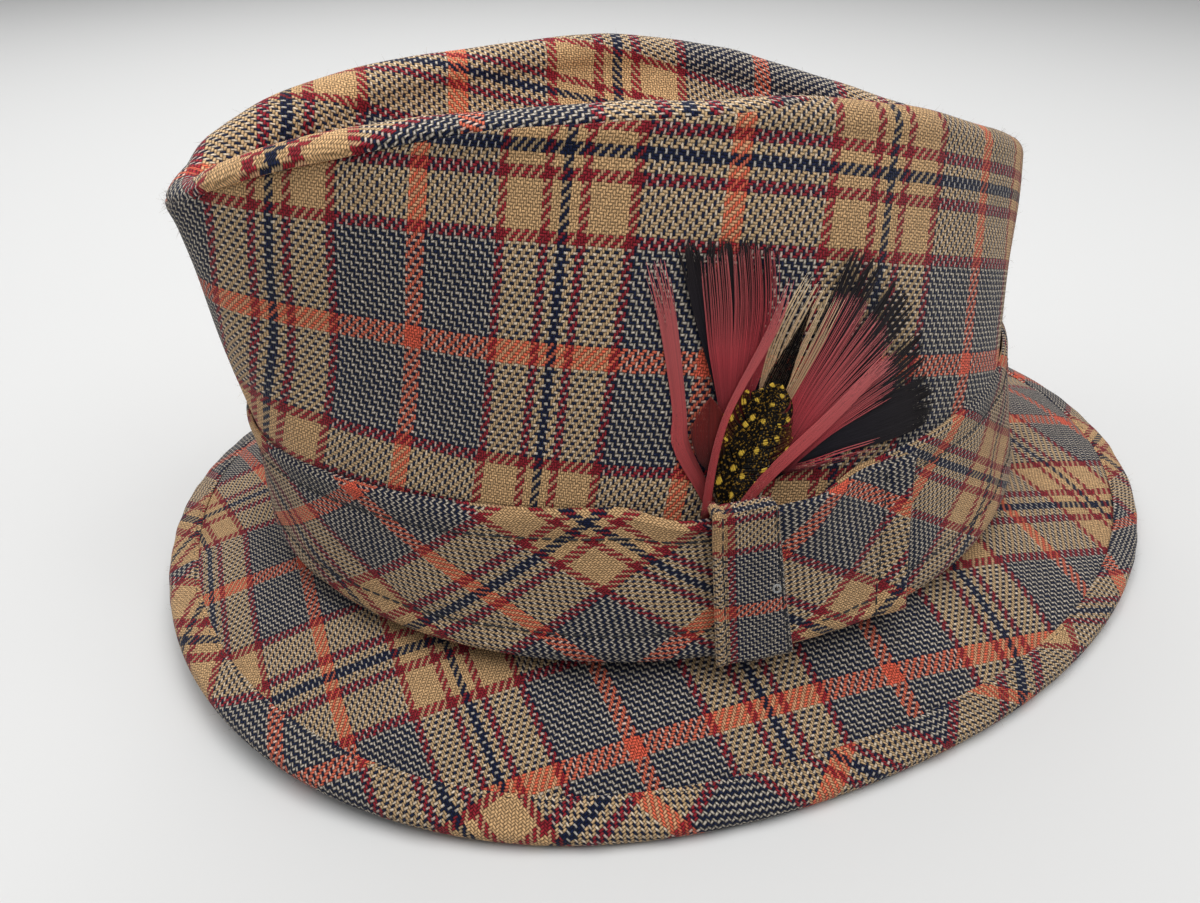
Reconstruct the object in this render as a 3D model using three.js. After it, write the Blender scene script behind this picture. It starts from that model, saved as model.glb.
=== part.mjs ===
// Plaid wool fedora: a creased crown, a turned-down brim with a bound edge, a bias-cut band with its
// keeper and free end, and a small feather mount on the wearer's left.
// Millimetres. +Z is up, -Y is the front of the hat and +X is the wearer's left side.
// The origin is on the table, under the middle of the brim.
import * as THREE from 'three';

// Steps round the hat, and the clearance kept between pieces that are sewn together
const SEGMENTS = 64;
const GAP = 0.3;

// Foot of the crown, where it meets the head. The crown stands forward of the brim's middle.
const HEAD = { centreY: -8.8, halfWidth: 86.9, halfLength: 100.5, z: 21.3 };

// Outward direction round the crown: how much faster it turns to the side than a circle does
const OUTWARD_SKEW = 0.86;

// Ridge round the top of the crown: its plan, its height at the sides, nose and back, and its fold
const RIDGE = {
  halfWidth: 44.9,
  frontReach: 107.8,
  backReach: 104.4,
  sideZ: 127,
  noseZ: 111.5,
  backZ: 100.5,
  nosePower: 4.1,
  backPower: 1.63,
  noseTaper: 0.44,
  noseTaperPower: 1.94,
  backTaper: 0.25,
  backTaperPower: 3,
  rightBackSag: 3.6,
  foldRadius: 6.1,
};

// Side wall: cloth thickness, how far it swells, and the shallow pinch on each side of the front
const WALL = { thickness: 2, swell: 1.5 };
const PINCH = { depth: 3, fromNose: 0.66, spread: 0.3, height: 0.62, heightSpread: 0.22 };

// Crease along the top of the crown
const CREASE = {
  frontReach: 80,
  backReach: 72,
  z: 94,
  frontRise: 3,
  backDrop: 3,
  steepness: 0.15,
  floor: 0.45,
};

// Seam between the side and the top: under the lip at the front, just inside the ridge elsewhere
const SEAM = {
  inside: 2.35,
  underLip: 0.97,
  lipProud: 1.8,
  proudTo: 1.3,
  flushFrom: 2.3,
  turnsAt: 0.25,
  frontFrom: 0.8,
  gap: 0.85,
};

// Brim: outline, lift of its edge at the front and back, cloth thickness and arch
const BRIM = {
  halfWidth: 115.5,
  halfLength: 146.4,
  squareness: 2.15,
  frontFlare: 0.06,
  frontLift: 5.9,
  backLift: 3,
  flatShare: 0.45,
  liftPower: 1.5,
  thickness: 2.6,
  arch: 1.4,
};

// Strip folded round the brim's edge, pressed flat by this much where it rests on the table
const BINDING = { width: 9.5, thickness: 0.9, pressed: 0.35, pressedShare: 0.6, sideTurns: [-0.4, 0.3] };

// Band round the crown. It stands off at its lower edge, and bulges over the feather roots.
const BAND = {
  topZ: 54,
  bottomZ: 25,
  thickness: 1.6,
  flare: 5,
  flarePower: 1.5,
  bulge: 4.4,
  bulgeDip: 1.4,
  bulgeFrom: -47,
  bulgeFull: -33,
  bulgeEases: -8,
  bulgeTo: 12,
};

// Free end of the band. Its end is cut on a slant.
const TAIL = { startY: -23, topEndY: 23.5, bottomEndY: 13, topZ: 54.2, bottomZ: 25.5, thickness: 1.1 };

// Keeper strip, folded over the upper edge of the band and its free end
const KEEPER = { topFrontY: -28.8, bottomFrontY: -31.2, backY: -15.2, thickness: 1.3 };
const TACK = { y: -17.6, z: 39, radius: 0.8, wire: 0.25 };

// Feathers lie in layers on the crown. They lean away from it as they rise.
const FEATHER = { thickness: 0.4, firstLift: 0.35, pitch: 0.75, lean: 0.04, rootZ: 54, notch: 0.12 };

// One row for each feather: its layer, the y and z of its root, bend and tip on the crown's side,
// its widths there, and how many points its free end has
const FEATHERS = [
  { name: 'feather_slate_left', layer: 0, root: [-20, 60], bend: [-21.5, 82], tip: [-21.5, 104],
    width: [2, 7, 9], points: 2, colour: 0x332f39 },
  { name: 'feather_slate_lower', layer: 0, root: [-12, 56.5], bend: [8, 60], tip: [35, 61],
    width: [2, 7, 12], points: 3, colour: 0x332f39 },
  { name: 'biot_left', layer: 0, root: [-27.5, 51], bend: [-32.6, 71], tip: [-31.3, 101],
    width: [2.2, 2.9, 4.4], points: 0, colour: 0xb0525c },
  { name: 'feather_slate_upper', layer: 1, root: [-7, 61], bend: [6, 71.5], tip: [21.3, 82],
    width: [2, 11, 30], points: 4, colour: 0x332f39 },
  { name: 'feather_cream', layer: 1, root: [-13, 64], bend: [-8, 78], tip: [2, 91.5],
    width: [2, 4.5, 8], points: 2, colour: 0xc9b9a0 },
  { name: 'feather_pink_low', layer: 1, root: [-9, 57.6], bend: [4, 58], tip: [20, 58],
    width: [1.2, 2, 2.4], points: 0, colour: 0xa94a56 },
  { name: 'feather_pink_left', layer: 2, root: [-20.5, 63], bend: [-18.5, 82], tip: [-15, 101.5],
    width: [2, 9, 16], points: 4, colour: 0xb0525c },
  { name: 'feather_dark_spike', layer: 2, root: [-12.5, 70], bend: [-7, 80], tip: [-0.4, 89],
    width: [3, 2.4, 0.6], points: 0, colour: 0x241f22 },
  { name: 'feather_pink_right', layer: 2, root: [-11, 62.5], bend: [3, 70], tip: [18.5, 79.5],
    width: [2, 11, 28], points: 4, colour: 0xb0525c },
  { name: 'feather_russet', layer: 2, root: [-25.6, 61], bend: [-25.8, 67], tip: [-25.6, 73.5],
    width: [2, 9, 2], points: 0, colour: 0x6e3a2b },
  { name: 'feather_spotted', layer: 3, root: [-21.5, 51], bend: [-17.6, 66], tip: [-14, 79],
    width: [3, 36, 4], points: 0, colour: 0x3a2f22 },
  { name: 'biot_centre', layer: 4, root: [-28.2, 51], bend: [-20.5, 76], tip: [-6, 97],
    width: [2.2, 2.2, 2], points: 0, colour: 0xb0525c },
  { name: 'biot_right', layer: 4, root: [-22, 52], bend: [-3, 65], tip: [17.5, 80],
    width: [2, 5, 3.5], points: 0, colour: 0xb0525c },
];

// Cloth colours: the wool reads as a mix of its cream, navy and red threads
const WOOL = 0x8f7f68;
const WOOL_DARK = 0x6c6259;
const CLEAR_THREAD = 0x9a9a9c;

const UP = new THREE.Vector3(0, 0, 1);

// Step for slopes that are measured on a surface
const SMALL_STEP = 1e-3;
const { lerp, smoothstep } = THREE.MathUtils;

// Point on a unit superellipse at an angle: 2 is a circle, more is squarer
function superellipse(theta, power) {
  const c = Math.cos(theta);
  const s = Math.sin(theta);
  const reach = (Math.abs(c) ** power + Math.abs(s) ** power) ** (-1 / power);
  return { c: c * reach, s: s * reach };
}

// Angle of one of the steps round the hat, counted from the nose towards the wearer's left
function stepAngle(step) {
  return -Math.PI / 2 + (2 * Math.PI * step) / SEGMENTS;
}

function outward(theta) {
  return new THREE.Vector3(Math.cos(theta) / OUTWARD_SKEW, Math.sin(theta), 0).normalize();
}

function headLine(theta) {
  return new THREE.Vector3(
    HEAD.halfWidth * Math.cos(theta),
    HEAD.centreY + HEAD.halfLength * Math.sin(theta),
    HEAD.z,
  );
}

function ridgeLine(theta) {
  const c = Math.cos(theta);
  const s = Math.sin(theta);
  const front = Math.max(0, -s);
  const back = Math.max(0, s);
  const nose = 1 - RIDGE.noseTaper * ((1 - s) / 2) ** RIDGE.noseTaperPower;
  const rear = 1 - RIDGE.backTaper * ((1 + s) / 2) ** RIDGE.backTaperPower;
  const reach = s < 0 ? RIDGE.frontReach : RIDGE.backReach;
  const drop = (RIDGE.sideZ - RIDGE.noseZ) * front ** RIDGE.nosePower
    + (RIDGE.sideZ - RIDGE.backZ) * back ** RIDGE.backPower
    + RIDGE.rightBackSag * Math.max(0, -c) * back;
  const x = RIDGE.halfWidth * c * nose * rear;
  return new THREE.Vector3(x, HEAD.centreY + reach * s, RIDGE.sideZ - drop);
}

// Lowest line of the crease, which both halves of the crown run down to
function creaseLine(theta) {
  const s = Math.sin(theta);
  const reach = s < 0 ? CREASE.frontReach : CREASE.backReach;
  const rise = s < 0 ? CREASE.frontRise * s * s : -CREASE.backDrop * s * s;
  return new THREE.Vector3(0, HEAD.centreY + reach * s, CREASE.z + rise);
}

// Depth of the shallow pinch at the front of the side wall
function pinchDepth(theta, t) {
  const fromNose = Math.acos(-Math.sin(theta));
  const turn = (fromNose - PINCH.fromNose) / PINCH.spread;
  const level = (t - PINCH.height) / PINCH.heightSpread;
  return PINCH.depth * Math.exp(-turn * turn - level * level) * Math.min(1, 4 * Math.max(0, 1 - t));
}

// Crown section at an angle: t runs 0 to 1 up the side wall, 1 to 3 over the ridge's fold and 3 to 4
// down into the crease
function crownPoint(theta, t) {
  const out = outward(theta);
  const ridge = ridgeLine(theta);
  const foldCentre = ridge.clone().addScaledVector(UP, -RIDGE.foldRadius);
  if (t <= 1) {
    const foldStart = foldCentre.addScaledVector(out, RIDGE.foldRadius);
    const swell = WALL.swell * 4 * t * (1 - t) - pinchDepth(theta, t);
    return headLine(theta).lerp(foldStart, t).addScaledVector(out, swell);
  }
  if (t <= 3) {
    const turn = ((t - 1) * Math.PI) / 2;
    foldCentre.addScaledVector(out, RIDGE.foldRadius * Math.cos(turn));
    return foldCentre.addScaledVector(UP, RIDGE.foldRadius * Math.sin(turn));
  }
  const start = foldCentre.addScaledVector(out, -RIDGE.foldRadius);
  const end = creaseLine(theta);
  const level = start.clone().sub(end).setZ(0).multiplyScalar(CREASE.floor);
  const dive = start.clone().addScaledVector(UP, (end.z - start.z) * CREASE.steepness);
  return new THREE.CubicBezierCurve3(start, dive, end.clone().add(level), end).getPoint(t - 3);
}

// Share of the lip at an angle: 1 at the front of the crown, 0 along the sides and back
function lipShare(theta) {
  return smoothstep(-Math.sin(theta), SEAM.turnsAt, SEAM.frontFrom);
}

function seamLevel(theta) {
  return lerp(SEAM.inside, SEAM.underLip, lipShare(theta));
}

// Outward normal of a section surface, from small steps along it
function surfaceNormal(surface, theta, t) {
  const along = surface(theta + SMALL_STEP, t).sub(surface(theta - SMALL_STEP, t));
  const upward = surface(theta, t + SMALL_STEP).sub(surface(theta, t - SMALL_STEP));
  return along.cross(upward).normalize();
}

// The crown's top stands proud of the side wall along its lip, and less towards the top of the ridge
function tipPoint(theta, t) {
  const proud = SEAM.lipProud * lipShare(theta) * (1 - smoothstep(t, SEAM.proudTo, SEAM.flushFrom));
  return crownPoint(theta, t).addScaledVector(surfaceNormal(crownPoint, theta, t), proud);
}

// Point on the side wall at a height, moved out from the cloth
function offWall(theta, z, lift) {
  const top = ridgeLine(theta).z - RIDGE.foldRadius;
  const t = (z - HEAD.z) / (top - HEAD.z);
  return crownPoint(theta, t).addScaledVector(outward(theta), lift);
}

// Angle at which the wearer's left side wall passes through a y at a height, found by halving a range
function angleAt(y, z) {
  const halvings = 40;
  let low = -Math.PI / 3;
  let high = Math.PI / 3;
  for (let pass = 0; pass < halvings; pass += 1) {
    const middle = (low + high) / 2;
    if (offWall(middle, z, 0).y < y) low = middle;
    else high = middle;
  }
  return (low + high) / 2;
}

function closedGeometry(points, index) {
  const geometry = new THREE.BufferGeometry();
  geometry.setFromPoints(points);
  geometry.setIndex(index);
  geometry.computeVertexNormals();
  return geometry;
}

// Sheet of cloth with two faces. place(column, row, face) gives a point on face 0, inside, or 1, outside.
// A ring closes on itself, and a patch has two more edges.
function sheet({ columns, rows, ring = false, place }) {
  const across = ring ? columns : columns + 1;
  const points = [];
  for (let face = 0; face < 2; face += 1) {
    for (let i = 0; i < across; i += 1) {
      for (let j = 0; j <= rows; j += 1) points.push(place(i, j, face));
    }
  }
  const at = (i, j, face) => (face * across + (i % across)) * (rows + 1) + j;
  const index = [];
  const quad = (a, b, c, d) => index.push(a, b, c, a, c, d);
  for (let i = 0; i < columns; i += 1) {
    for (let j = 0; j < rows; j += 1) {
      quad(at(i, j, 1), at(i + 1, j, 1), at(i + 1, j + 1, 1), at(i, j + 1, 1));
      quad(at(i, j, 0), at(i, j + 1, 0), at(i + 1, j + 1, 0), at(i + 1, j, 0));
    }
    quad(at(i, 0, 0), at(i + 1, 0, 0), at(i + 1, 0, 1), at(i, 0, 1));
    quad(at(i, rows, 1), at(i + 1, rows, 1), at(i + 1, rows, 0), at(i, rows, 0));
  }
  for (let j = 0; j < rows && !ring; j += 1) {
    quad(at(0, j, 1), at(0, j + 1, 1), at(0, j + 1, 0), at(0, j, 0));
    quad(at(columns, j, 0), at(columns, j + 1, 0), at(columns, j + 1, 1), at(columns, j, 1));
  }
  return closedGeometry(points, index);
}

// Ring swept round the hat from a closed section, which runs up on its outer side
function sweptRing(sectionAt) {
  const sections = Array.from({ length: SEGMENTS }, (_, step) => sectionAt(stepAngle(step)));
  const size = sections[0].length;
  const at = (i, k) => (i % SEGMENTS) * size + (k % size);
  const index = [];
  for (let i = 0; i < SEGMENTS; i += 1) {
    for (let k = 0; k < size; k += 1) {
      index.push(at(i, k), at(i + 1, k), at(i + 1, k + 1));
      index.push(at(i, k), at(i + 1, k + 1), at(i, k + 1));
    }
  }
  return closedGeometry(sections.flat(), index);
}

// Rows up the side wall: their levels where the wall ends under the lip, and where it folds over the ridge
const SIDE_ROWS = [
  { lip: 0, fold: 0 },
  { lip: 0.14, fold: 0.28 },
  { lip: 0.28, fold: 0.56 },
  { lip: 0.42, fold: 0.82 },
  { lip: 0.56, fold: 1.05 },
  { lip: 0.7, fold: 1.45 },
  { lip: 0.84, fold: 1.9 },
  { lip: 1, fold: SEAM.inside },
];

function crownSide() {
  return sheet({
    columns: SEGMENTS,
    rows: SIDE_ROWS.length - 1,
    ring: true,
    place(step, row, face) {
      const theta = stepAngle(step);
      const share = lipShare(theta);
      const seam = seamLevel(theta);
      const pace = crownPoint(theta, seam).distanceTo(crownPoint(theta, seam - SMALL_STEP)) / SMALL_STEP;
      const level = SIDE_ROWS[row];
      const scale = 1 - SEAM.gap / pace / seam;
      const t = scale * lerp(level.fold, level.lip * SEAM.underLip, share);
      const point = crownPoint(theta, t);
      if (face === 0) point.addScaledVector(surfaceNormal(crownPoint, theta, t), -WALL.thickness);
      if (row === 0) point.setZ(HEAD.z);
      return point;
    },
  });
}

// Rows across the crown's top, from the seam to the crease
const TIP_ROWS = [0, 0.15, 0.3, 0.45, 0.62, 0.75, 0.88];

// The two halves of the top meet along the crease, where they share their points
function crownTip() {
  const rows = TIP_ROWS.length;
  const points = [];
  const at = (step, row, face) => {
    const i = step % SEGMENTS;
    const half = row === rows && i > SEGMENTS / 2 ? SEGMENTS - i : i;
    return (face * SEGMENTS + half) * (rows + 1) + row;
  };
  for (let face = 0; face < 2; face += 1) {
    for (let i = 0; i < SEGMENTS; i += 1) {
      const theta = stepAngle(i);
      for (const share of TIP_ROWS) {
        const t = lerp(seamLevel(theta), 4, share);
        const point = tipPoint(theta, t);
        if (face === 0) point.addScaledVector(surfaceNormal(tipPoint, theta, t), -WALL.thickness);
        points.push(point);
      }
      points.push(creaseLine(theta).addScaledVector(UP, face === 0 ? -WALL.thickness : 0));
    }
  }
  const index = [];
  const quad = (a, b, c, d) => index.push(a, b, c, a, c, d);
  for (let i = 0; i < SEGMENTS; i += 1) {
    for (let j = 0; j < rows; j += 1) {
      quad(at(i, j, 1), at(i + 1, j, 1), at(i + 1, j + 1, 1), at(i, j + 1, 1));
      quad(at(i, j, 0), at(i, j + 1, 0), at(i + 1, j + 1, 0), at(i + 1, j, 0));
    }
    quad(at(i, 0, 0), at(i + 1, 0, 0), at(i + 1, 0, 1), at(i, 0, 1));
  }
  return closedGeometry(points, index);
}

// Height of the brim's edge above the table: level along both sides, lifted at the front and back
function edgeZ(theta) {
  const s = Math.sin(theta);
  const share = Math.max(0, (Math.abs(s) - BRIM.flatShare) / (1 - BRIM.flatShare));
  return (s < 0 ? BRIM.frontLift : BRIM.backLift) * share ** BRIM.liftPower;
}

const ROLL_RADIUS = BRIM.thickness / 2 + GAP + BINDING.thickness;

// Middle of the brim's cloth: u runs 0 to 1 from the head line to the middle of the rolled edge
function brimMiddle(theta, u) {
  const { c, s } = superellipse(theta, BRIM.squareness);
  const foot = headLine(theta);
  foot.z -= GAP + BRIM.thickness / 2;
  const rim = new THREE.Vector3(BRIM.halfWidth * c * (1 - BRIM.frontFlare * s), BRIM.halfLength * s, 0);
  const away = rim.clone().sub(foot).setZ(0).normalize();
  rim.addScaledVector(away, -ROLL_RADIUS);
  rim.z = edgeZ(theta) + ROLL_RADIUS - BINDING.pressed;
  return foot.lerp(rim, u).addScaledVector(UP, BRIM.arch * 4 * u * (1 - u));
}

const BRIM_ROWS = [0.14, 0.42, 0.7, 1];

// Directions along and across the outermost stretch of the brim
function edgeFrame(theta) {
  const rim = brimMiddle(theta, 1);
  const along = rim.clone().sub(brimMiddle(theta, BRIM_ROWS.at(-2))).normalize();
  const across = UP.clone().addScaledVector(along, -along.z).normalize();
  return { rim, along, across };
}

function brim() {
  return sweptRing((theta) => {
    const foot = headLine(theta);
    foot.z -= GAP;
    const inner = foot.clone().addScaledVector(outward(theta), -WALL.thickness);
    const face = (side) => BRIM_ROWS.map((u, row) => {
      const before = brimMiddle(theta, row === 0 ? 0 : BRIM_ROWS[row - 1]);
      const point = brimMiddle(theta, u);
      const along = point.clone().sub(before).normalize();
      const across = UP.clone().addScaledVector(along, -along.z).normalize();
      return point.addScaledVector(across, (side * BRIM.thickness) / 2);
    });
    const under = (point) => point.clone().addScaledVector(UP, -BRIM.thickness);
    return [under(inner), under(foot), ...face(-1), ...face(1).reverse(), foot, inner];
  });
}

// Section of the binding: under the brim, round its edge and over it, then back along its inner side
function brimBinding() {
  return sweptRing((theta) => {
    const { rim, along, across } = edgeFrame(theta);
    const table = edgeZ(theta);
    const inward = along.clone().setZ(0).normalize();
    const slope = Math.asin(-along.z);
    const leg = BINDING.width - ROLL_RADIUS;
    const ray = (angle, reach) => rim.clone()
      .addScaledVector(inward, reach * Math.cos(angle))
      .addScaledVector(UP, reach * Math.sin(angle));
    const end = (side, reach) => rim.clone()
      .addScaledVector(across, side * reach)
      .addScaledVector(along, -leg);
    const down = -Math.PI / 2;
    const pressed = BINDING.pressedShare * slope;
    const [lowSide, highSide] = BINDING.sideTurns;
    const outerTurns = [down - slope, down - pressed, down + pressed, lowSide, highSide, -down - slope];
    const innerTurns = [-down - slope, -slope, down - slope];
    const innerRadius = ROLL_RADIUS - BINDING.thickness;
    const section = [
      end(-1, ROLL_RADIUS),
      ...outerTurns.map((turn) => ray(turn, ROLL_RADIUS)),
      end(1, ROLL_RADIUS),
      end(1, innerRadius),
      ...innerTurns.map((turn) => ray(turn, innerRadius)),
      end(-1, innerRadius),
    ];
    section.forEach((point) => point.setZ(Math.max(point.z, table)));
    return section;
  });
}

// Share of the bulge over the feather roots at a place on the crown
function bulgeShare(theta, z) {
  if (Math.cos(theta) < 0) return 0;
  const y = offWall(theta, z, 0).y;
  return smoothstep(y, BAND.bulgeFrom, BAND.bulgeFull) - smoothstep(y, BAND.bulgeEases, BAND.bulgeTo);
}

// How far the band's inner face stands off the crown at an angle and height
function bandLift(theta, z) {
  const drop = (BAND.topZ - z) / (BAND.topZ - BAND.bottomZ);
  const bulge = BAND.bulge * bulgeShare(theta, z) * Math.min(1, 1 - drop);
  return GAP + bulge + BAND.flare * Math.max(0, drop) ** BAND.flarePower;
}

function hatBand() {
  const rows = 5;
  return sheet({
    columns: SEGMENTS,
    rows,
    ring: true,
    place(step, row, face) {
      const theta = stepAngle(step);
      const top = BAND.topZ - BAND.bulgeDip * bulgeShare(theta, BAND.topZ);
      const z = lerp(BAND.bottomZ, top, row / rows);
      return offWall(theta, z, bandLift(theta, z) + face * BAND.thickness);
    },
  });
}

function tailLift(theta, z) {
  return bandLift(theta, z) + BAND.thickness + GAP;
}

function bandTail() {
  const columns = 8;
  const rows = 5;
  return sheet({
    columns,
    rows,
    place(column, row, face) {
      const z = lerp(TAIL.bottomZ, TAIL.topZ, row / rows);
      const endY = lerp(TAIL.bottomEndY, TAIL.topEndY, row / rows);
      const theta = angleAt(lerp(TAIL.startY, endY, column / columns), z);
      return offWall(theta, z, tailLift(theta, z) + face * TAIL.thickness);
    },
  });
}

// How far the keeper's outer face stands off the crown
function keeperLift(theta, z) {
  return tailLift(theta, z) + TAIL.thickness + GAP + KEEPER.thickness;
}

// Rows of the keeper run up its face, then back over the top of the band
function bandKeeper() {
  const columns = 4;
  const faceRows = 5;
  const top = TAIL.topZ + GAP;
  return sheet({
    columns,
    rows: faceRows + 1,
    place(column, row, face) {
      const folded = row > faceRows;
      const share = Math.min(1, row / faceRows);
      const z = lerp(BAND.bottomZ, top + face * KEEPER.thickness, share);
      const frontY = lerp(KEEPER.bottomFrontY, KEEPER.topFrontY, share);
      const theta = angleAt(lerp(frontY, KEEPER.backY, column / columns), z);
      const lift = keeperLift(theta, z) - (1 - face) * KEEPER.thickness;
      return offWall(theta, z, folded ? bandLift(theta, z) + GAP : lift);
    },
  });
}

function keeperTack() {
  const tack = new THREE.Mesh(new THREE.TorusGeometry(TACK.radius, TACK.wire, 6, 12));
  const keeperFace = (theta, z) => offWall(theta, z, keeperLift(theta, z));
  const theta = angleAt(TACK.y, TACK.z);
  const normal = surfaceNormal(keeperFace, theta, TACK.z);
  tack.position.copy(keeperFace(theta, TACK.z)).addScaledVector(normal, GAP + TACK.wire);
  tack.quaternion.setFromUnitVectors(UP, normal);
  return tack;
}

// Value at a share along a root, bend and tip, on the curve that the bend pulls
function pulled([root, bend, tip], share) {
  return lerp(lerp(root, bend, share), lerp(bend, tip, share), share);
}

// Flat blade on the crown's side, along a curve from root to tip. A wide free end is notched into points.
function featherBlade({ layer, root, bend, tip, width, points }) {
  const columns = Math.max(2, 2 * points);
  const rows = 6;
  const ys = [root[0], bend[0], tip[0]];
  const zs = [root[1], bend[1], tip[1]];
  return sheet({
    columns,
    rows,
    place(column, row, face) {
      const trimmed = points > 0 && column % 2 === 1 ? 1 - FEATHER.notch : 1;
      const share = (row / rows) * trimmed;
      const across = (column / columns - 0.5) * pulled(width, share);
      const alongY = pulled(ys, share + SMALL_STEP) - pulled(ys, share - SMALL_STEP);
      const alongZ = pulled(zs, share + SMALL_STEP) - pulled(zs, share - SMALL_STEP);
      const length = Math.hypot(alongY, alongZ);
      const y = pulled(ys, share) + (across * alongZ) / length;
      const z = pulled(zs, share) - (across * alongY) / length;
      const lean = FEATHER.lean * Math.max(0, z - FEATHER.rootZ);
      const lift = FEATHER.firstLift + layer * FEATHER.pitch + lean + face * FEATHER.thickness;
      return offWall(angleAt(y, z), z, lift);
    },
  });
}

function cloth(colour) {
  return new THREE.MeshStandardMaterial({ color: colour, roughness: 0.95, metalness: 0 });
}

function named(name, geometry, material) {
  const mesh = new THREE.Mesh(geometry, material);
  mesh.name = name;
  return mesh;
}

function crownGroup() {
  const group = new THREE.Group();
  group.add(named('crown_side', crownSide(), cloth(WOOL)));
  group.add(named('crown_tip', crownTip(), cloth(WOOL)));
  return group;
}

function brimGroup() {
  const group = new THREE.Group();
  group.add(named('brim', brim(), cloth(WOOL)));
  group.add(named('brim_binding', brimBinding(), cloth(WOOL_DARK)));
  return group;
}

function bandGroup() {
  const group = new THREE.Group();
  group.add(named('hat_band', hatBand(), cloth(WOOL_DARK)));
  group.add(named('band_tail', bandTail(), cloth(WOOL_DARK)));
  group.add(named('band_keeper', bandKeeper(), cloth(WOOL_DARK)));
  const tack = keeperTack();
  tack.name = 'keeper_tack';
  tack.material = new THREE.MeshStandardMaterial({ color: CLEAR_THREAD, roughness: 0.3, metalness: 0 });
  group.add(tack);
  return group;
}

function featherGroup() {
  const group = new THREE.Group();
  for (const feather of FEATHERS) {
    const material = new THREE.MeshStandardMaterial({ color: feather.colour, roughness: 0.7, metalness: 0 });
    group.add(named(feather.name, featherBlade(feather), material));
  }
  return group;
}

const fedora = new THREE.Group();
fedora.add(crownGroup(), brimGroup(), bandGroup(), featherGroup());

export default fedora;
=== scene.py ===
"""Plaid wool fedora: a creased crown, a bound brim, a bias-cut band with its keeper, and a feather mount.

Sizes are millimetres in the hat's own frame until a mesh is written, which is in metres.
+Z is up, -Y is the front of the hat and +X is the wearer's left, the side with the feathers.
"""

import logging
import math
from dataclasses import dataclass, field, replace
from enum import Enum
from typing import Any, Callable, Optional, Sequence

import bmesh
import bpy
import numpy as np
from mathutils import Matrix, Vector


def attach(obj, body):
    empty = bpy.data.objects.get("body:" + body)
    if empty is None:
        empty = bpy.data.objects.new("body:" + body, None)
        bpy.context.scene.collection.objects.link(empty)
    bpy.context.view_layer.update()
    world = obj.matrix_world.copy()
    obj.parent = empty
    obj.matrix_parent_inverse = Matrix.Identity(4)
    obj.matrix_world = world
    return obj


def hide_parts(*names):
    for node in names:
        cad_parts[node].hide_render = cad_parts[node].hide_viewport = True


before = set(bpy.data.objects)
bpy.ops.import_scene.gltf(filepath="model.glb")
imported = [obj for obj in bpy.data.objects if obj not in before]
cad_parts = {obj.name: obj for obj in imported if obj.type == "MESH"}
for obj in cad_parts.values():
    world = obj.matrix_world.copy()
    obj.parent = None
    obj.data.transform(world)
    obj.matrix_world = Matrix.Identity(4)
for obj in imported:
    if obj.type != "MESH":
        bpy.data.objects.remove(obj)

log = logging.getLogger("fedora")

Array = np.ndarray
Wave = tuple[float, float, int]
MM = 0.001
BODY = "root"
CLOTH_MAP = "cloth_mm"
FIBRE_MAP = "fibre"
UP = np.array([0.0, 0.0, 1.0])


def linear(code: str, alpha: float = 1.0) -> tuple[float, float, float, float]:
    """Turn an sRGB hex colour into linear RGBA.

    Args:
        code: Six hex digits, with or without a leading hash.
        alpha: Value of the fourth channel.

    Returns:
        Linear red, green, blue and alpha.
    """
    digits = code.lstrip("#")
    parts = [int(digits[k:k + 2], 16) / 255 for k in (0, 2, 4)]
    r, g, b = (c / 12.92 if c <= 0.04045 else ((c + 0.055) / 1.055) ** 2.4 for c in parts)
    return r, g, b, alpha


def unit(vectors: Array) -> Array:
    """Scale vectors to length one."""
    return vectors / np.maximum(np.linalg.norm(vectors, axis=-1, keepdims=True), 1e-12)


def smoothstep(value: Array, low: float, high: float) -> Array:
    """Ease from 0 at low to 1 at high."""
    x = np.clip((value - low) / (high - low), 0, 1)
    return x * x * (3 - 2 * x)


def lerp(a: Any, b: Any, share: Any) -> Any:
    """Blend from a to b."""
    return a + (b - a) * share


def wander(points: Array, wavelength: float, seed: int) -> Array:
    """Give a smooth waver over space, made of a few sine waves in seeded directions.

    Args:
        points: Places, with x, y and z last.
        wavelength: Usual length of a wave, in the units of the points.
        seed: Seed of the directions, lengths and phases.

    Returns:
        Values mostly between -1 and 1, one for each place.
    """
    rng = np.random.default_rng(seed)
    waves = 7
    directions = unit(rng.normal(size=(waves, 3)))
    pace = 2 * math.pi / (wavelength * rng.uniform(0.7, 1.4, waves))
    phase = rng.uniform(0, 2 * math.pi, waves)
    return np.sin(points @ (directions * pace[:, None]).T + phase).sum(-1) / 2.6


def grid_normals(points: Array, ring: bool) -> Array:
    """Find the normals of a grid of points.

    Args:
        points: Points as columns, rows and x, y, z.
        ring: Whether the last column meets the first.

    Returns:
        Unit normals, on the side that columns crossed with rows point to.
    """
    if ring:
        along = np.roll(points, -1, 0) - np.roll(points, 1, 0)
    else:
        along = np.gradient(points, axis=0)
    return unit(np.cross(along, np.gradient(points, axis=1)))


def arc_along(points: Array) -> Array:
    """Measure the length along each column of a grid, from its first row."""
    steps = np.linalg.norm(np.diff(points, axis=1), axis=-1)
    return np.concatenate([np.zeros_like(steps[:, :1]), np.cumsum(steps, axis=1)], axis=1)


def length_along(line: Array) -> Array:
    """Measure the length along one line, at each of its points."""
    return np.concatenate([[0], np.cumsum(np.linalg.norm(np.diff(line, axis=0), axis=1))])


def around(start: float, columns: int) -> Array:
    """List the angles of columns once round from a start, with the first one again at the end."""
    return start + 2 * math.pi * np.arange(columns + 1) / columns


def ripple(points: Array, waves: Sequence[Wave]) -> Array:
    """Add up the waver of soft cloth, from waves that each have a height, a length and a seed."""
    return sum(height * wander(points, length, seed) for height, length, seed in waves)


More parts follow.
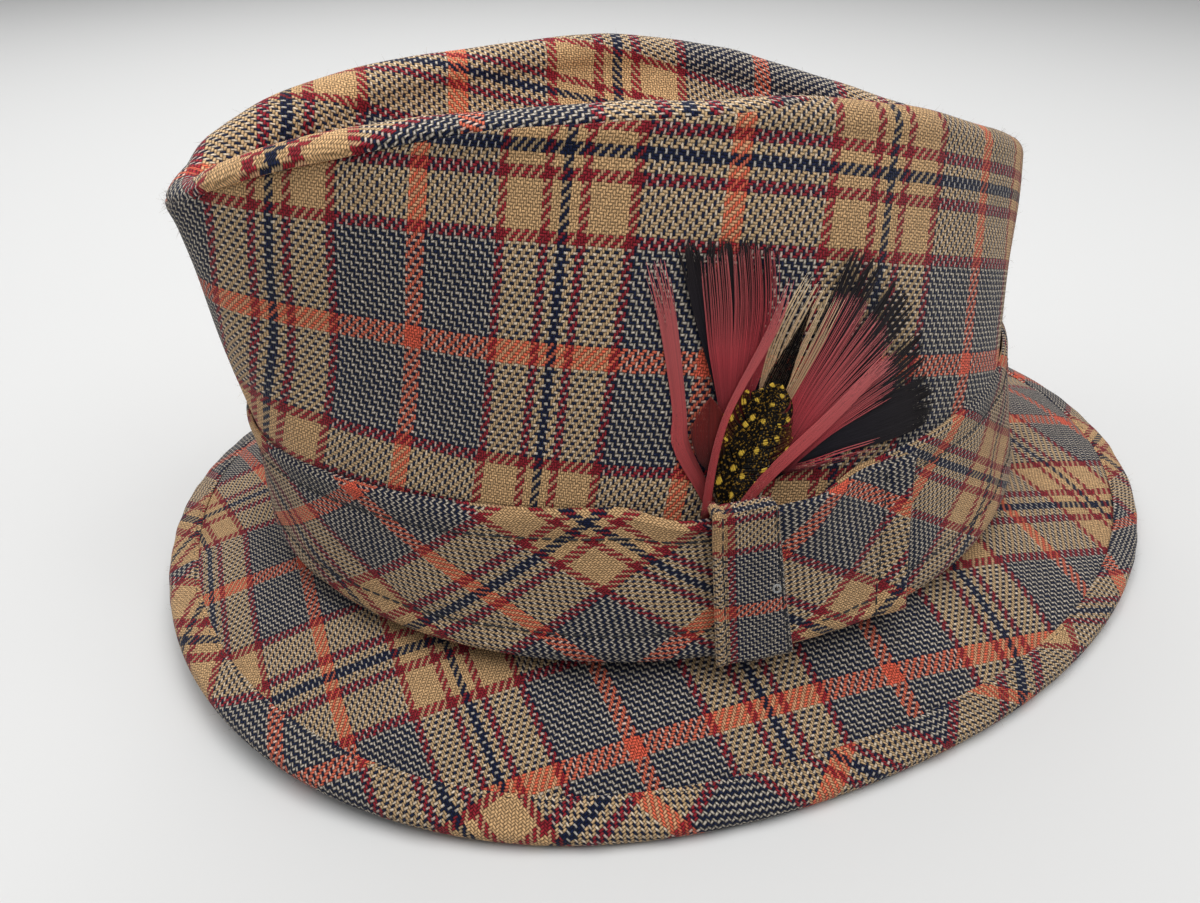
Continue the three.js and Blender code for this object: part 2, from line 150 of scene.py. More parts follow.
def rounded(distance: Array, radius: Any) -> Array:
    """Say how far a rounded edge falls below the face, at a distance in from the edge."""
    x = np.clip(1 - distance / radius, 0, 1)
    return radius * (1 - np.sqrt(1 - 0.98 * x * x))


def groove(distance: Array, depth: float, width: float) -> Array:
    """Say how deep cloth is drawn in at a distance from a row of stitches."""
    return depth * np.exp(-((distance / width) ** 2))


def spline(knots: Array, share: Array) -> Array:
    """Follow a smooth curve through knots.

    Args:
        knots: Knots, with one row of values for each.
        share: Share of the way from the first knot to the last.

    Returns:
        The values at each share, along one more axis.
    """
    padded = np.concatenate([2 * knots[:1] - knots[1:2], knots, 2 * knots[-1:] - knots[-2:-1]])
    place = np.clip(share, 0, 1) * (len(knots) - 1)
    i = np.clip(np.floor(place).astype(int), 0, len(knots) - 2)
    f = (place - i)[..., None]
    a, b, c, d = (padded[i + k] for k in range(4))
    return b + 0.5 * f * (c - a + f * (2 * a - 5 * b + 4 * c - d + f * (3 * (b - c) + d - a)))


def join(tree: bpy.types.NodeTree, node: bpy.types.Node, links: dict[Any, Any]) -> None:
    """Link sockets to a node's inputs or set their values, each input by its name or number."""
    for key, value in links.items():
        if isinstance(value, bpy.types.NodeSocket):
            tree.links.new(value, node.inputs[key])
        else:
            node.inputs[key].default_value = value


def add_node(
    tree: bpy.types.NodeTree,
    kind: str,
    links: Optional[dict[Any, Any]] = None,
    stops: Optional[Sequence[tuple[float, tuple]]] = None,
    stepped: bool = False,
    **settings: Any,
) -> bpy.types.Node:
    """Add a node with its settings and links.

    Args:
        tree: Node tree that takes the node.
        kind: Blender's name for the node.
        links: For each input, by name or number, a socket to link or a value to set.
        stops: Positions and colours of a colour ramp.
        stepped: Whether each colour of the ramp holds up to the next stop.
        settings: Properties of the node itself.

    Returns:
        The new node.
    """
    node = tree.nodes.new(kind)
    for name, value in settings.items():
        setattr(node, name, value)
    join(tree, node, links or {})
    if stops:
        ramp = node.color_ramp
        ramp.interpolation = "CONSTANT" if stepped else "LINEAR"
        while len(ramp.elements) < len(stops):
            ramp.elements.new(1.0)
        for element, (position, colour) in zip(ramp.elements, stops):
            element.position = position
            element.color = colour
    return node


def start_finish(name: str) -> tuple[bpy.types.Material, bpy.types.NodeTree, bpy.types.Node]:
    """Start a material, and give it with its node tree and its main shader."""
    material = bpy.data.materials.new(name)
    material.use_nodes = True
    return material, material.node_tree, material.node_tree.nodes["Principled BSDF"]


class MeshMaker:
    """Gathers points, faces and corner coordinates, and writes them as one object."""

    def __init__(self, name: str, uv_map: str) -> None:
        """Start an empty mesh with a name for it and for its coordinates."""
        self.name = name
        self.uv_map = uv_map
        self.points: list[Array] = []
        self.faces: list[Array] = []
        self.corners: list[Array] = []
        self.count = 0

    def add(self, points: Array, faces: Array, corners: Array) -> None:
        """Add points in millimetres, faces that count from them, and a coordinate for each face corner."""
        self.points.append(points.reshape(-1, 3))
        self.faces.append(faces + self.count)
        self.corners.append(corners)
        self.count += self.points[-1].shape[0]

    def add_sheet(self, face: Array, back: Array, uv: Array, ring: bool, shut_end: bool = True) -> None:
        """Add cloth with two faces and closed edges.

        Args:
            face: Outer points as columns, rows and x, y, z.
            back: Inner points, laid out alike.
            uv: Cloth coordinates of the outer points. A ring's has one column more.
            ring: Whether the last column meets the first.
            shut_end: Whether the last row gets an edge. Without it the row is welded to itself.
        """
        columns, rows = face.shape[:2]
        spans = columns if ring else columns - 1
        number = np.arange(2 * columns * rows).reshape(2, columns, rows)
        thick = np.linalg.norm(face - back, axis=-1)[..., None]
        if ring:
            thick = np.concatenate([thick, thick[:1]])
        i, j = (k.ravel() for k in np.meshgrid(np.arange(spans), np.arange(rows - 1), indexing="ij"))
        n = (i + 1) % columns
        faces = [
            np.stack([number[1, i, j], number[1, n, j], number[1, n, j + 1], number[1, i, j + 1]], -1),
            np.stack([number[0, i, j], number[0, i, j + 1], number[0, n, j + 1], number[0, n, j]], -1),
        ]
        corners = [
            np.stack([uv[i, j], uv[i + 1, j], uv[i + 1, j + 1], uv[i, j + 1]], 1),
            np.stack([uv[i, j], uv[i, j + 1], uv[i + 1, j + 1], uv[i + 1, j]], 1),
        ]

        def shut(rim: Any, inner: Any, here: Array, there: Array, outer_first: bool) -> None:
            """Close an edge, and carry the cloth coordinates over it by the cloth's thickness there."""
            over = uv[rim] + unit(uv[rim] - uv[inner]) * thick[rim]
            sides = [(number[0][rim], over), (number[1][rim], uv[rim])]
            (a, p), (b, q) = sides[::-1] if outer_first else sides
            faces.append(np.stack([a[here], a[there], b[there], b[here]], -1))
            corners.append(np.stack([p[here], p[here + 1], q[here + 1], q[here]], 1))

        edge = np.arange(spans)
        after = (edge + 1) % columns
        shut(np.s_[:, 0], np.s_[:, 1], edge, after, outer_first=False)
        if shut_end:
            shut(np.s_[:, -1], np.s_[:, -2], edge, after, outer_first=True)
        if not ring:
            k = np.arange(rows - 1)
            shut(np.s_[0], np.s_[1], k, k + 1, outer_first=True)
            shut(np.s_[-1], np.s_[-2], k, k + 1, outer_first=False)
        points = np.stack([back, face])
        self.add(points, np.concatenate(faces), np.concatenate(corners))

    def add_strands(
        self, paths: Array, normals: Array, wide: Array, high: Array, tags: Array, sides: int = 3
    ) -> None:
        """Add many thin strands, each a closed prism along its path.

        Args:
            paths: Strands, points along each, and x, y, z.
            normals: Direction away from the cloth at each point.
            wide: Half width at each point.
            high: Half height at each point.
            tags: Two coordinates for each point, kept in the mesh for the finish.
            sides: Sides of the prism.
        """
        strands, steps = paths.shape[:2]
        along = unit(np.gradient(paths, axis=1))
        side = unit(np.cross(along, normals))
        above = np.cross(side, along)
        turn = 2 * math.pi * (np.arange(sides) / sides) + math.pi / 2
        ring = (paths[:, :, None]
                + np.cos(turn)[:, None] * (side * wide[..., None])[:, :, None]
                + np.sin(turn)[:, None] * (above * high[..., None])[:, :, None])
        number = np.arange(strands * steps * sides).reshape(strands, steps, sides)
        a = number[:, :-1]
        b = number[:, 1:]
        quads = np.stack([a, b, np.roll(b, -1, 2), np.roll(a, -1, 2)], -1).reshape(-1, 4)
        spread = np.broadcast_to(tags[:, :, None], (strands, steps, sides, 2)).reshape(-1, 2)
        caps = np.concatenate([number[:, 0], number[:, -1, ::-1]])
        self.add(ring, quads, spread[quads])
        self.faces.append(caps + self.count - ring.reshape(-1, 3).shape[0])
        self.corners.append(spread[caps])

    def write(self, material: bpy.types.Material, weld: bool = False, crisp: float = 40) -> bpy.types.Object:
        """Write the mesh as an object.

        Args:
            material: Finish of every face.
            weld: Whether points in the same place become one.
            crisp: Angle in degrees past which an edge stays sharp.

        Returns:
            The object, linked to the scene and riding on the hat.
        """
        points = np.concatenate(self.points) * MM
        sizes = np.concatenate([np.full(len(f), f.shape[1]) for f in self.faces])
        loops = np.concatenate([f.ravel() for f in self.faces])
        mesh = bpy.data.meshes.new(self.name)
        mesh.vertices.add(len(points))
        mesh.vertices.foreach_set("co", points.astype(np.float32).ravel())
        mesh.loops.add(len(loops))
        mesh.loops.foreach_set("vertex_index", loops.astype(np.int32))
        mesh.polygons.add(len(sizes))
        starts = np.concatenate([[0], np.cumsum(sizes)[:-1]])
        mesh.polygons.foreach_set("loop_start", starts.astype(np.int32))
        layer = mesh.uv_layers.new(name=self.uv_map)
        flat = np.concatenate([c.reshape(-1, 2) for c in self.corners])
        layer.data.foreach_set("uv", flat.astype(np.float32).ravel())
        mesh.update(calc_edges=True)
        if weld:
            shape = bmesh.new()
            shape.from_mesh(mesh)
            bmesh.ops.remove_doubles(shape, verts=shape.verts, dist=1e-6)
            shape.to_mesh(mesh)
            shape.free()
        mesh.validate()
        mesh.shade_smooth()
        mesh.set_sharp_from_angle(angle=math.radians(crisp))
        mesh.materials.append(material)
        piece = bpy.data.objects.new(self.name, mesh)
        bpy.context.scene.collection.objects.link(piece)
        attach(piece, BODY)
        log.info("%s: %d faces", self.name, len(mesh.polygons))
        return piece


@dataclass(frozen=True)
class HatForm:
    """Driving sizes of the hat in millimetres, and the surfaces that its pieces are laid on."""

    gap: float = 0.3
    head_y: float = -8.8
    head_half_width: float = 86.9
    head_half_length: float = 100.5
    head_z: float = 21.3
    outward_skew: float = 0.86
    ridge_half_width: float = 44.9
    ridge_front: float = 107.8
    ridge_back: float = 104.4
    ridge_z: float = 127.0
    nose_z: float = 111.5
    back_z: float = 100.5
    nose_power: float = 4.1
    back_power: float = 1.63
    nose_taper: float = 0.44
    nose_taper_power: float = 1.94
    back_taper: float = 0.25
    back_taper_power: float = 3.0
    right_back_sag: float = 3.6
    fold_radius: float = 6.1
    swell: float = 1.5
    pinch: float = 3.0
    pinch_from_nose: float = 0.66
    pinch_spread: float = 0.3
    pinch_height: float = 0.62
    pinch_height_spread: float = 0.22
    crease_front: float = 80.0
    crease_back: float = 72.0
    crease_z: float = 94.0
    crease_front_rise: float = 3.0
    crease_back_drop: float = 3.0
    crease_steepness: float = 0.15
    crease_floor: float = 0.45
    seam_inside: float = 2.35
    seam_outside: float = 1.45
    seam_inside_from: float = 0.35
    seam_inside_to: float = -0.5
    seam_under_lip: float = 1.22
    lip_proud: float = 1.8
    lip_proud_to: float = 1.5
    lip_flush_from: float = 2.4
    lip_turns_at: float = 0.42
    lip_front_from: float = 0.72
    lip_flush_at_nose: float = 0.24
    lip_proud_past_nose: float = 0.42
    brim_half_width: float = 115.5
    brim_half_length: float = 146.4
    brim_squareness: float = 2.15
    brim_front_flare: float = 0.06
    brim_front_lift: float = 5.9
    brim_back_lift: float = 3.0
    brim_flat_share: float = 0.45
    brim_lift_power: float = 1.5
    brim_thickness: float = 2.6
    brim_arch: float = 1.4
    binding_thickness: float = 0.9
    binding_pressed: float = 0.35
    band_top: float = 54.0
    band_bottom: float = 25.0
    band_thickness: float = 1.6
    band_flare: float = 5.0
    band_flare_power: float = 1.5
    bulge: float = 4.4
    bulge_dip: float = 1.4
    bulge_from: float = -47.0
    bulge_full: float = -33.0
    bulge_eases: float = -8.0
    bulge_to: float = 12.0

    @property
    def roll_radius(self) -> float:
        """Radius of the rolled edge of the brim, over its binding."""
        return self.brim_thickness / 2 + self.gap + self.binding_thickness

    def outward(self, theta: Array) -> Array:
        """Level direction out of the crown at an angle round it."""
        flat = np.stack([np.cos(theta) / self.outward_skew, np.sin(theta), np.zeros_like(theta)], -1)
        return unit(flat)

    def head_line(self, theta: Array) -> Array:
        """Foot of the crown at an angle."""
        return np.stack([
            self.head_half_width * np.cos(theta),
            self.head_y + self.head_half_length * np.sin(theta),
            np.full_like(theta, self.head_z),
        ], -1)

    def ridge_line(self, theta: Array) -> Array:
        """Top of the fold that runs round the crown."""
        c, s = np.cos(theta), np.sin(theta)
        front, back = np.maximum(0, -s), np.maximum(0, s)
        nose = 1 - self.nose_taper * ((1 - s) / 2) ** self.nose_taper_power
        rear = 1 - self.back_taper * ((1 + s) / 2) ** self.back_taper_power
        reach = np.where(s < 0, self.ridge_front, self.ridge_back)
        drop = ((self.ridge_z - self.nose_z) * front ** self.nose_power
                + (self.ridge_z - self.back_z) * back ** self.back_power
                + self.right_back_sag * np.maximum(0, -c) * back)
        return np.stack([self.ridge_half_width * c * nose * rear, self.head_y + reach * s,
                         self.ridge_z - drop], -1)

    def crease_line(self, theta: Array) -> Array:
        """Lowest line of the crease along the top."""
        s = np.sin(theta)
        reach = np.where(s < 0, self.crease_front, self.crease_back)
        rise = np.where(s < 0, self.crease_front_rise, -self.crease_back_drop) * s * s
        return np.stack([np.zeros_like(s), self.head_y + reach * s, self.crease_z + rise], -1)

    def pinch_depth(self, theta: Array, t: Array) -> Array:
        """Depth of the shallow pinch on each side of the front."""
        from_nose = np.arccos(np.clip(-np.sin(theta), -1, 1))
        turn = (from_nose - self.pinch_from_nose) / self.pinch_spread
        level = (t - self.pinch_height) / self.pinch_height_spread
        return self.pinch * np.exp(-turn ** 2 - level ** 2) * np.clip(4 * (1 - t), 0, 1)

    def crown(self, theta: Array, t: Array) -> Array:
        """Find a point of the crown's section.

        Args:
            theta: Angle round the crown, 0 on the wearer's left.
            t: Place on the section: 0 to 1 up the side, to 3 over the fold and to 4 in the crease.

        Returns:
            Points with x, y and z last.
        """
        theta, t = np.broadcast_arrays(np.asarray(theta, float), np.asarray(t, float))
        out = self.outward(theta)
        centre = self.ridge_line(theta) - self.fold_radius * UP
        start = centre + self.fold_radius * out
        swell = self.swell * 4 * t * (1 - t) - self.pinch_depth(theta, t)
        wall = lerp(self.head_line(theta), start, t[..., None]) + out * swell[..., None]
        turn = ((np.clip(t, 1, 3) - 1) * math.pi / 2)[..., None]
        fold = centre + self.fold_radius * (np.cos(turn) * out + np.sin(turn) * UP)
        begin = centre - self.fold_radius * out
        end = self.crease_line(theta)
        level = (begin - end) * np.array([1, 1, 0]) * self.crease_floor
        dive = begin + UP * ((end - begin)[..., 2:] * self.crease_steepness)
        w = np.clip(t - 3, 0, 1)[..., None]
        dip = ((1 - w) ** 3 * begin + 3 * (1 - w) ** 2 * w * dive
               + 3 * (1 - w) * w * w * (end + level) + w ** 3 * end)
        return np.where(t[..., None] <= 1, wall, np.where(t[..., None] <= 3, fold, dip))

    def normal(self, surface: Callable, theta: Array, t: Array) -> Array:
        """Find the outward normal of a surface by small steps along it."""
        step = 1e-3
        along = surface(theta + step, t) - surface(theta - step, t)
        upward = surface(theta, t + step) - surface(theta, t - step)
        return unit(np.cross(along, upward))

    def lip_share(self, theta: Array) -> Array:
        """Share of the front lip: 1 at the front of the crown, 0 along the sides and back."""
        return smoothstep(-np.sin(theta), self.lip_turns_at, self.lip_front_from)

    def fold_level(self, theta: Array) -> Array:
        """Place on the section of the flush seam: inside the ridge at the back left, else outside it."""
        back = smoothstep(np.sin(theta), 0, self.seam_inside_from)
        left = smoothstep(np.cos(theta), self.seam_inside_to, 0)
        return lerp(self.seam_outside, self.seam_inside, back * left)

    def seam_level(self, theta: Array) -> Array:
        """Place on the section of the seam between the side and the top."""
        return lerp(self.fold_level(theta), self.seam_under_lip, self.lip_share(theta))

    def past_nose(self, theta: Array) -> Array:
        """Share of the way out of the nose, where the lip lies flush, to the lip on each side of it."""
        from_nose = np.arccos(np.clip(-np.sin(theta), -1, 1))
        return smoothstep(from_nose, self.lip_flush_at_nose, self.lip_proud_past_nose)

    def proud(self, theta: Array, t: Array) -> Array:
        """How far the top stands proud of the side."""
        rest = 1 - smoothstep(t, self.lip_proud_to, self.lip_flush_from)
        return self.lip_proud * self.lip_share(theta) * self.past_nose(theta) * rest

    def tip(self, theta: Array, t: Array) -> Array:
        """Find a point of the crown's top, which stands proud of the side along its lip."""
        return self.crown(theta, t) + self.normal(self.crown, theta, t) * self.proud(theta, t)[..., None]

    def off_wall(self, theta: Array, z: Array, lift: Array) -> Array:
        """Find a point on the side at a height, moved out from the cloth."""
        theta, z, lift = np.broadcast_arrays(*(np.asarray(v, float) for v in (theta, z, lift)))
        top = self.ridge_line(theta)[..., 2] - self.fold_radius
        t = (z - self.head_z) / (top - self.head_z)
        return self.crown(theta, t) + self.outward(theta) * lift[..., None]

    def angle_at(self, y: Array, z: Array) -> Array:
        """Find the angle at which the wearer's left side passes through a y at a height."""
        y, z = np.broadcast_arrays(np.asarray(y, float), np.asarray(z, float))
        low = np.full(y.shape, -math.pi / 3)
        high = np.full(y.shape, math.pi / 3)
        for _ in range(40):
            middle = (low + high) / 2
            under = self.off_wall(middle, z, 0)[..., 1] < y
            low = np.where(under, middle, low)
            high = np.where(under, high, middle)
        return (low + high) / 2

    def edge_z(self, theta: Array) -> Array:
        """Height of the brim's edge above the table."""
        s = np.sin(theta)
        share = np.maximum(0, (np.abs(s) - self.brim_flat_share) / (1 - self.brim_flat_share))
        return np.where(s < 0, self.brim_front_lift, self.brim_back_lift) * share ** self.brim_lift_power

    def brim_middle(self, theta: Array, u: Array) -> Array:
        """Find the middle of the brim's cloth: u runs 0 to 1 from the head line to the rolled edge."""
        theta, u = np.broadcast_arrays(np.asarray(theta, float), np.asarray(u, float))
        c, s = np.cos(theta), np.sin(theta)
        power = self.brim_squareness
        reach = (np.abs(c) ** power + np.abs(s) ** power) ** (-1 / power)
        c, s = c * reach, s * reach
        foot = self.head_line(theta) - UP * (self.gap + self.brim_thickness / 2)
        rim = np.stack([self.brim_half_width * c * (1 - self.brim_front_flare * s),
                        self.brim_half_length * s, np.zeros_like(s)], -1)
        away = unit((rim - foot) * np.array([1, 1, 0]))
        rim = rim - away * self.roll_radius
        rim[..., 2] = self.edge_z(theta) + self.roll_radius - self.binding_pressed
        arch = self.brim_arch * 4 * u * (1 - u)
        return lerp(foot, rim, u[..., None]) + UP * arch[..., None]

    def bulge_share(self, theta: Array, z: Array) -> Array:
        """Share of the band's bulge over the feather roots."""
        y = self.off_wall(theta, z, 0)[..., 1]
        rise = smoothstep(y, self.bulge_from, self.bulge_full)
        ease = smoothstep(y, self.bulge_eases, self.bulge_to)
        return np.where(np.cos(theta) < 0, 0, rise - ease)

    def band_lift(self, theta: Array, z: Array) -> Array:
        """How far the band's inner face stands off the crown."""
        drop = (self.band_top - z) / (self.band_top - self.band_bottom)
        bulge = self.bulge * self.bulge_share(theta, z) * np.minimum(1, 1 - drop)
        return self.gap + bulge + self.band_flare * np.maximum(0, drop) ** self.band_flare_power


class Stripe(Enum):
    """Stripes of the sett: each value is the thread at the middle of that stripe."""

    ORANGE = 4
    NAVY = 70


@dataclass(frozen=True)
class Lay:
    """How one set of threads lies on a piece, in threads, as a gentle curve over the piece's own axes.

    Where the cloth was stretched unevenly, knots give the count at even steps along the piece, from one
    end of its reach to the other, in place of the start and the pace along.
    """

    start: float = 0.0
    along: float = 0.0
    across: float = 0.0
    twist: float = 0.0
    fan: float = 0.0
    bow_along: float = 0.0
    bow_across: float = 0.0
    knots: tuple[float, ...] = ()
    reach: float = 1.0

    def threads(self, x: Array, y: Array) -> Array:
        """Count the threads at places given along and across the piece, in millimetres."""
        bend = (self.twist * x * y + self.fan * np.abs(x) * y
                + self.bow_along * x * x + self.bow_across * y * y) / 100
        base = self.start + self.along * x
        if self.knots:
            base = spline(np.array(self.knots)[:, None], (x / self.reach + 1) / 2)[..., 0]
        return base + self.across * y + bend


@dataclass(frozen=True)
class WovenPlaid:
    """Worsted wool woven in a 2/2 twill: matt, a little hairy, with a stair of short floats to the eye."""

    name: str = "worsted_wool_twill_plaid"
    warp_pitch: float = 0.47
    weft_pitch: float = 0.59
    cream: str = "#E6C395"
    stone: str = "#E0D6C7"
    navy: str = "#1B2544"
    deep_navy: str = "#192347"
    red: str = "#A62C3A"
    orange: str = "#F27A5E"
    roughness: float = 0.92
    sheen: float = 0.12
    thread_relief: float = 0.2
    painted_gap_shade: float = 0.15
    stone_press: float = 2.2
    bounce: float = 0.4
    # Gain on the cloth's whole tone: raised on the crown's side and top as painted light
    strength: float = 0.95
    drift: float = 0.45
    drift_size: float = 3.0
    waver: float = 0.24
    waver_size: float = 0.8
    heather_size: float = 0.55
    heather_low: float = 0.35
    heather_reach: float = 1.3
    wear_size: float = 26.0
    mottle_low: float = 0.88
    mottle_reach: float = 0.24
    float_side_power: float = 2.4
    float_end_power: float = 3.5
    bump_strength: float = 0.7
    specular: float = 0.15
    sheen_roughness: float = 0.5

    @property
    def sett(self) -> list[tuple[int, str, str]]:
        """One repeat: how many threads, and the colours of its even and odd threads."""
        half = [(32, self.navy, self.stone), (4, self.red, self.red), (16, self.cream, self.cream),
                (4, self.red, self.red), (4, self.cream, self.cream)]
        middle = [(4, self.deep_navy, self.deep_navy)]
        return [(8, self.orange, self.orange)] + half + middle + half[::-1]

    @property
    def repeat(self) -> int:
        """Threads in one repeat."""
        return sum(count for count, _, _ in self.sett)

    def stops(self, odd: float) -> list[tuple[float, tuple]]:
        """Find where each stripe starts and its colour.

        Args:
            odd: 0 for the even threads, 1 for the odd ones, and 0.5 for the mean of both.

        Returns:
            Positions and colours. The fourth channel marks the stone yarn.
        """
        found = []
        start = 0
        for count, *codes in self.sett:
            first, second = (np.array(linear(code, float(code == self.stone))) for code in codes)
            found.append((start / self.repeat, tuple(lerp(first, second, odd))))
            start += count
        return found

    def place(self, warp: Array, weft: Array, stripe: Stripe) -> Array:
        """Turn counts of threads from a stripe's middle into cloth coordinates in millimetres."""
        middle = stripe.value
        return np.stack([(warp + middle) * self.warp_pitch, (weft + middle) * self.weft_pitch], -1)

    def weave_steps(self) -> list[tuple]:
        """List the sums of the weave, each with its name, its operation and its values or their names.

        Returns:
            Steps from the cloth's millimetres u and v to the thread on top, its relief and its tone.
        """
        return [
            ("x", "DIVIDE", "u", self.warp_pitch),
            ("y", "DIVIDE", "v", self.weft_pitch),
            ("i", "FLOOR", "x"),
            ("j", "FLOOR", "y"),
            ("warp_step", "SUBTRACT", "i", "y"),
            ("warp_next", "ADD", "warp_step", 1.0),
            ("warp_run", "FLOORED_MODULO", "warp_next", 4.0),
            ("weft_step", "SUBTRACT", "x", "j"),
            ("weft_run", "FLOORED_MODULO", "weft_step", 4.0),
            ("warp_over", "LESS_THAN", "warp_run", 2.0),
            # Along the float and across it, from -1 to 1, for whichever thread is on top
            ("warp_along", "SUBTRACT", "warp_run", 1.0),
            ("weft_along", "SUBTRACT", "weft_run", 3.0),
            ("along_gap", "SUBTRACT", "warp_along", "weft_along"),
            ("along", "MULTIPLY_ADD", "along_gap", "warp_over", "weft_along"),
            ("x_part", "FRACT", "x"),
            ("y_part", "FRACT", "y"),
            ("part_gap", "SUBTRACT", "x_part", "y_part"),
            ("part", "MULTIPLY_ADD", "part_gap", "warp_over", "y_part"),
            ("across", "MULTIPLY_ADD", "part", 2.0, -1.0),
            ("thread_gap", "SUBTRACT", "i", "j"),
            ("thread", "MULTIPLY_ADD", "thread_gap", "warp_over", "j"),
            ("both", "ADD", "i", "j"),
            ("under", "SUBTRACT", "both", "thread"),
            # The float is rounded over its width and dives at its ends
            ("far_across", "ABSOLUTE", "across"),
            ("far_along", "ABSOLUTE", "along"),
            ("side_fall", "POWER", "far_across", self.float_side_power),
            ("end_fall", "POWER", "far_along", self.float_end_power),
            ("side_height", "SUBTRACT", 1.0, "side_fall"),
            ("end_height", "SUBTRACT", 1.0, "end_fall"),
            ("relief", "MULTIPLY", "side_height", "end_height"),
            ("thread_middle", "ADD", "thread", 0.5),
            ("repeats", "DIVIDE", "thread_middle", float(self.repeat)),
            ("position", "FRACT", "repeats"),
            ("under_middle", "ADD", "under", 0.5),
            ("under_repeats", "DIVIDE", "under_middle", float(self.repeat)),
            ("under_position", "FRACT", "under_repeats"),
            ("odd", "FLOORED_MODULO", "thread", 2.0),
        ]

    def tone_steps(self) -> list[tuple]:
        """List the sums of the cloth's tone: shade between threads, heathered yarn, a little wear and a
        gain, which is painted light on the crown's side and top.

        Returns:
            Steps, written as in the weave.
        """
        return [
            # The stone yarn is pressed thin where it crosses the stripe that it shares with the navy, so
            # more of its width falls into the painted shade between threads
            ("stone_top", "MULTIPLY", "odd", "stone"),
            ("thin", "MULTIPLY", "stone_top", "stone_under"),
            ("press", "MULTIPLY_ADD", "thin", 2 * (self.stone_press - 1), 1.0),
            # Painted shade: each float is lightest on its rounded top and darkens to the gap shade at its
            # sides and ends, where shade falls between threads
            ("shown", "POWER", "relief", "press"),
            ("lit", "MULTIPLY_ADD", "shown", 1 - self.painted_gap_shade, self.painted_gap_shade),
            ("heathered", "MULTIPLY_ADD", "heather", self.heather_reach, self.heather_low),
            ("worn", "MULTIPLY_ADD", "wear", self.mottle_reach, self.mottle_low),
            # The thread's own dye tone, times the gain that paints light on the crown's side and top
            ("own", "MULTIPLY_ADD", "dye", self.mottle_reach * self.strength,
             self.mottle_low * self.strength),
            ("shaded", "MULTIPLY", "lit", "heathered"),
            ("aged", "MULTIPLY", "shaded", "worn"),
            ("tone", "MULTIPLY", "aged", "own"),
        ]

    def make(self) -> bpy.types.Material:
        """Make the cloth: each thread is drawn where it floats, with its own tone and a rounded top.

        Returns:
            The material. It reads the cloth coordinates of the piece, in millimetres.
        """
        material, tree, shader = start_finish(self.name)
        cloth = add_node(tree, "ShaderNodeUVMap", uv_map=CLOTH_MAP).outputs[0]
        noises = {}
        sizes = {"drift": self.drift_size, "waver": self.waver_size,
                 "heather": self.heather_size, "wear": self.wear_size}
        for name, size in sizes.items():
            links = {"Vector": cloth, "Scale": 1 / size, "Detail": 2.0}
            noises[name] = add_node(tree, "ShaderNodeTexNoise", links, noise_dimensions="2D").outputs
        shift = cloth
        for name, reach in (("drift", self.drift), ("waver", self.waver)):
            centred = add_node(tree, "ShaderNodeVectorMath", {0: noises[name]["Color"], 1: (0.5, 0.5, 0.5)},
                               operation="SUBTRACT").outputs[0]
            shift = add_node(tree, "ShaderNodeVectorMath", {0: centred, 1: (reach, reach, 0), 2: shift},
                             operation="MULTIPLY_ADD").outputs[0]
        split = add_node(tree, "ShaderNodeSeparateXYZ", {0: shift})
        weave = {"u": split.outputs[0], "v": split.outputs[1],
                 "heather": noises["heather"][0], "wear": noises["wear"][0]}

        def work_out(steps: list[tuple]) -> None:
            """Add a node for each step, and keep its result under the step's name."""
            for name, operation, *values in steps:
                links = {k: weave.get(v, v) for k, v in enumerate(values)}
                weave[name] = add_node(tree, "ShaderNodeMath", links, operation=operation).outputs[0]

        work_out(self.weave_steps())
        yarns = [add_node(tree, "ShaderNodeValToRGB", {0: weave["position"]}, self.stops(odd), stepped=True)
                 for odd in (0.0, 1.0)]
        yarn = add_node(tree, "ShaderNodeMix",
                        {0: weave["odd"], 6: yarns[0].outputs[0], 7: yarns[1].outputs[0]},
                        data_type="RGBA").outputs[2]
        weave["stone"] = yarns[1].outputs["Alpha"]
        # Painted bounce light: light that bounces off the crossing threads tints the thread on top with
        # their colour
        crossed = add_node(tree, "ShaderNodeValToRGB", {0: weave["under_position"]}, self.stops(0.5),
                           stepped=True)
        weave["stone_under"] = crossed.outputs["Alpha"]
        painted_bounce_tint = add_node(tree, "ShaderNodeVectorMath",
                         {0: crossed.outputs[0], 1: (self.bounce,) * 3, 2: (1 - self.bounce,) * 3},
                         operation="MULTIPLY_ADD").outputs[0]
        bounce_tinted_yarn = add_node(tree, "ShaderNodeVectorMath", {0: yarn, 1: painted_bounce_tint},
                           operation="MULTIPLY").outputs[0]
        weave["dye"] = add_node(tree, "ShaderNodeTexWhiteNoise", {"W": weave["thread"]},
                                noise_dimensions="1D").outputs[0]
        work_out(self.tone_steps())
        colour = add_node(tree, "ShaderNodeVectorMath", {0: bounce_tinted_yarn, 3: weave["tone"]},
                          operation="SCALE").outputs[0]
        bump_links = {"Height": weave["relief"], "Strength": self.bump_strength,
                      "Distance": self.thread_relief * MM}
        bump = add_node(tree, "ShaderNodeBump", bump_links).outputs[0]
        join(tree, shader, {"Base Color": colour, "Normal": bump, "Roughness": self.roughness,
                            "Specular IOR Level": self.specular, "Sheen Weight": self.sheen,
                            "Sheen Roughness": self.sheen_roughness})
        return material


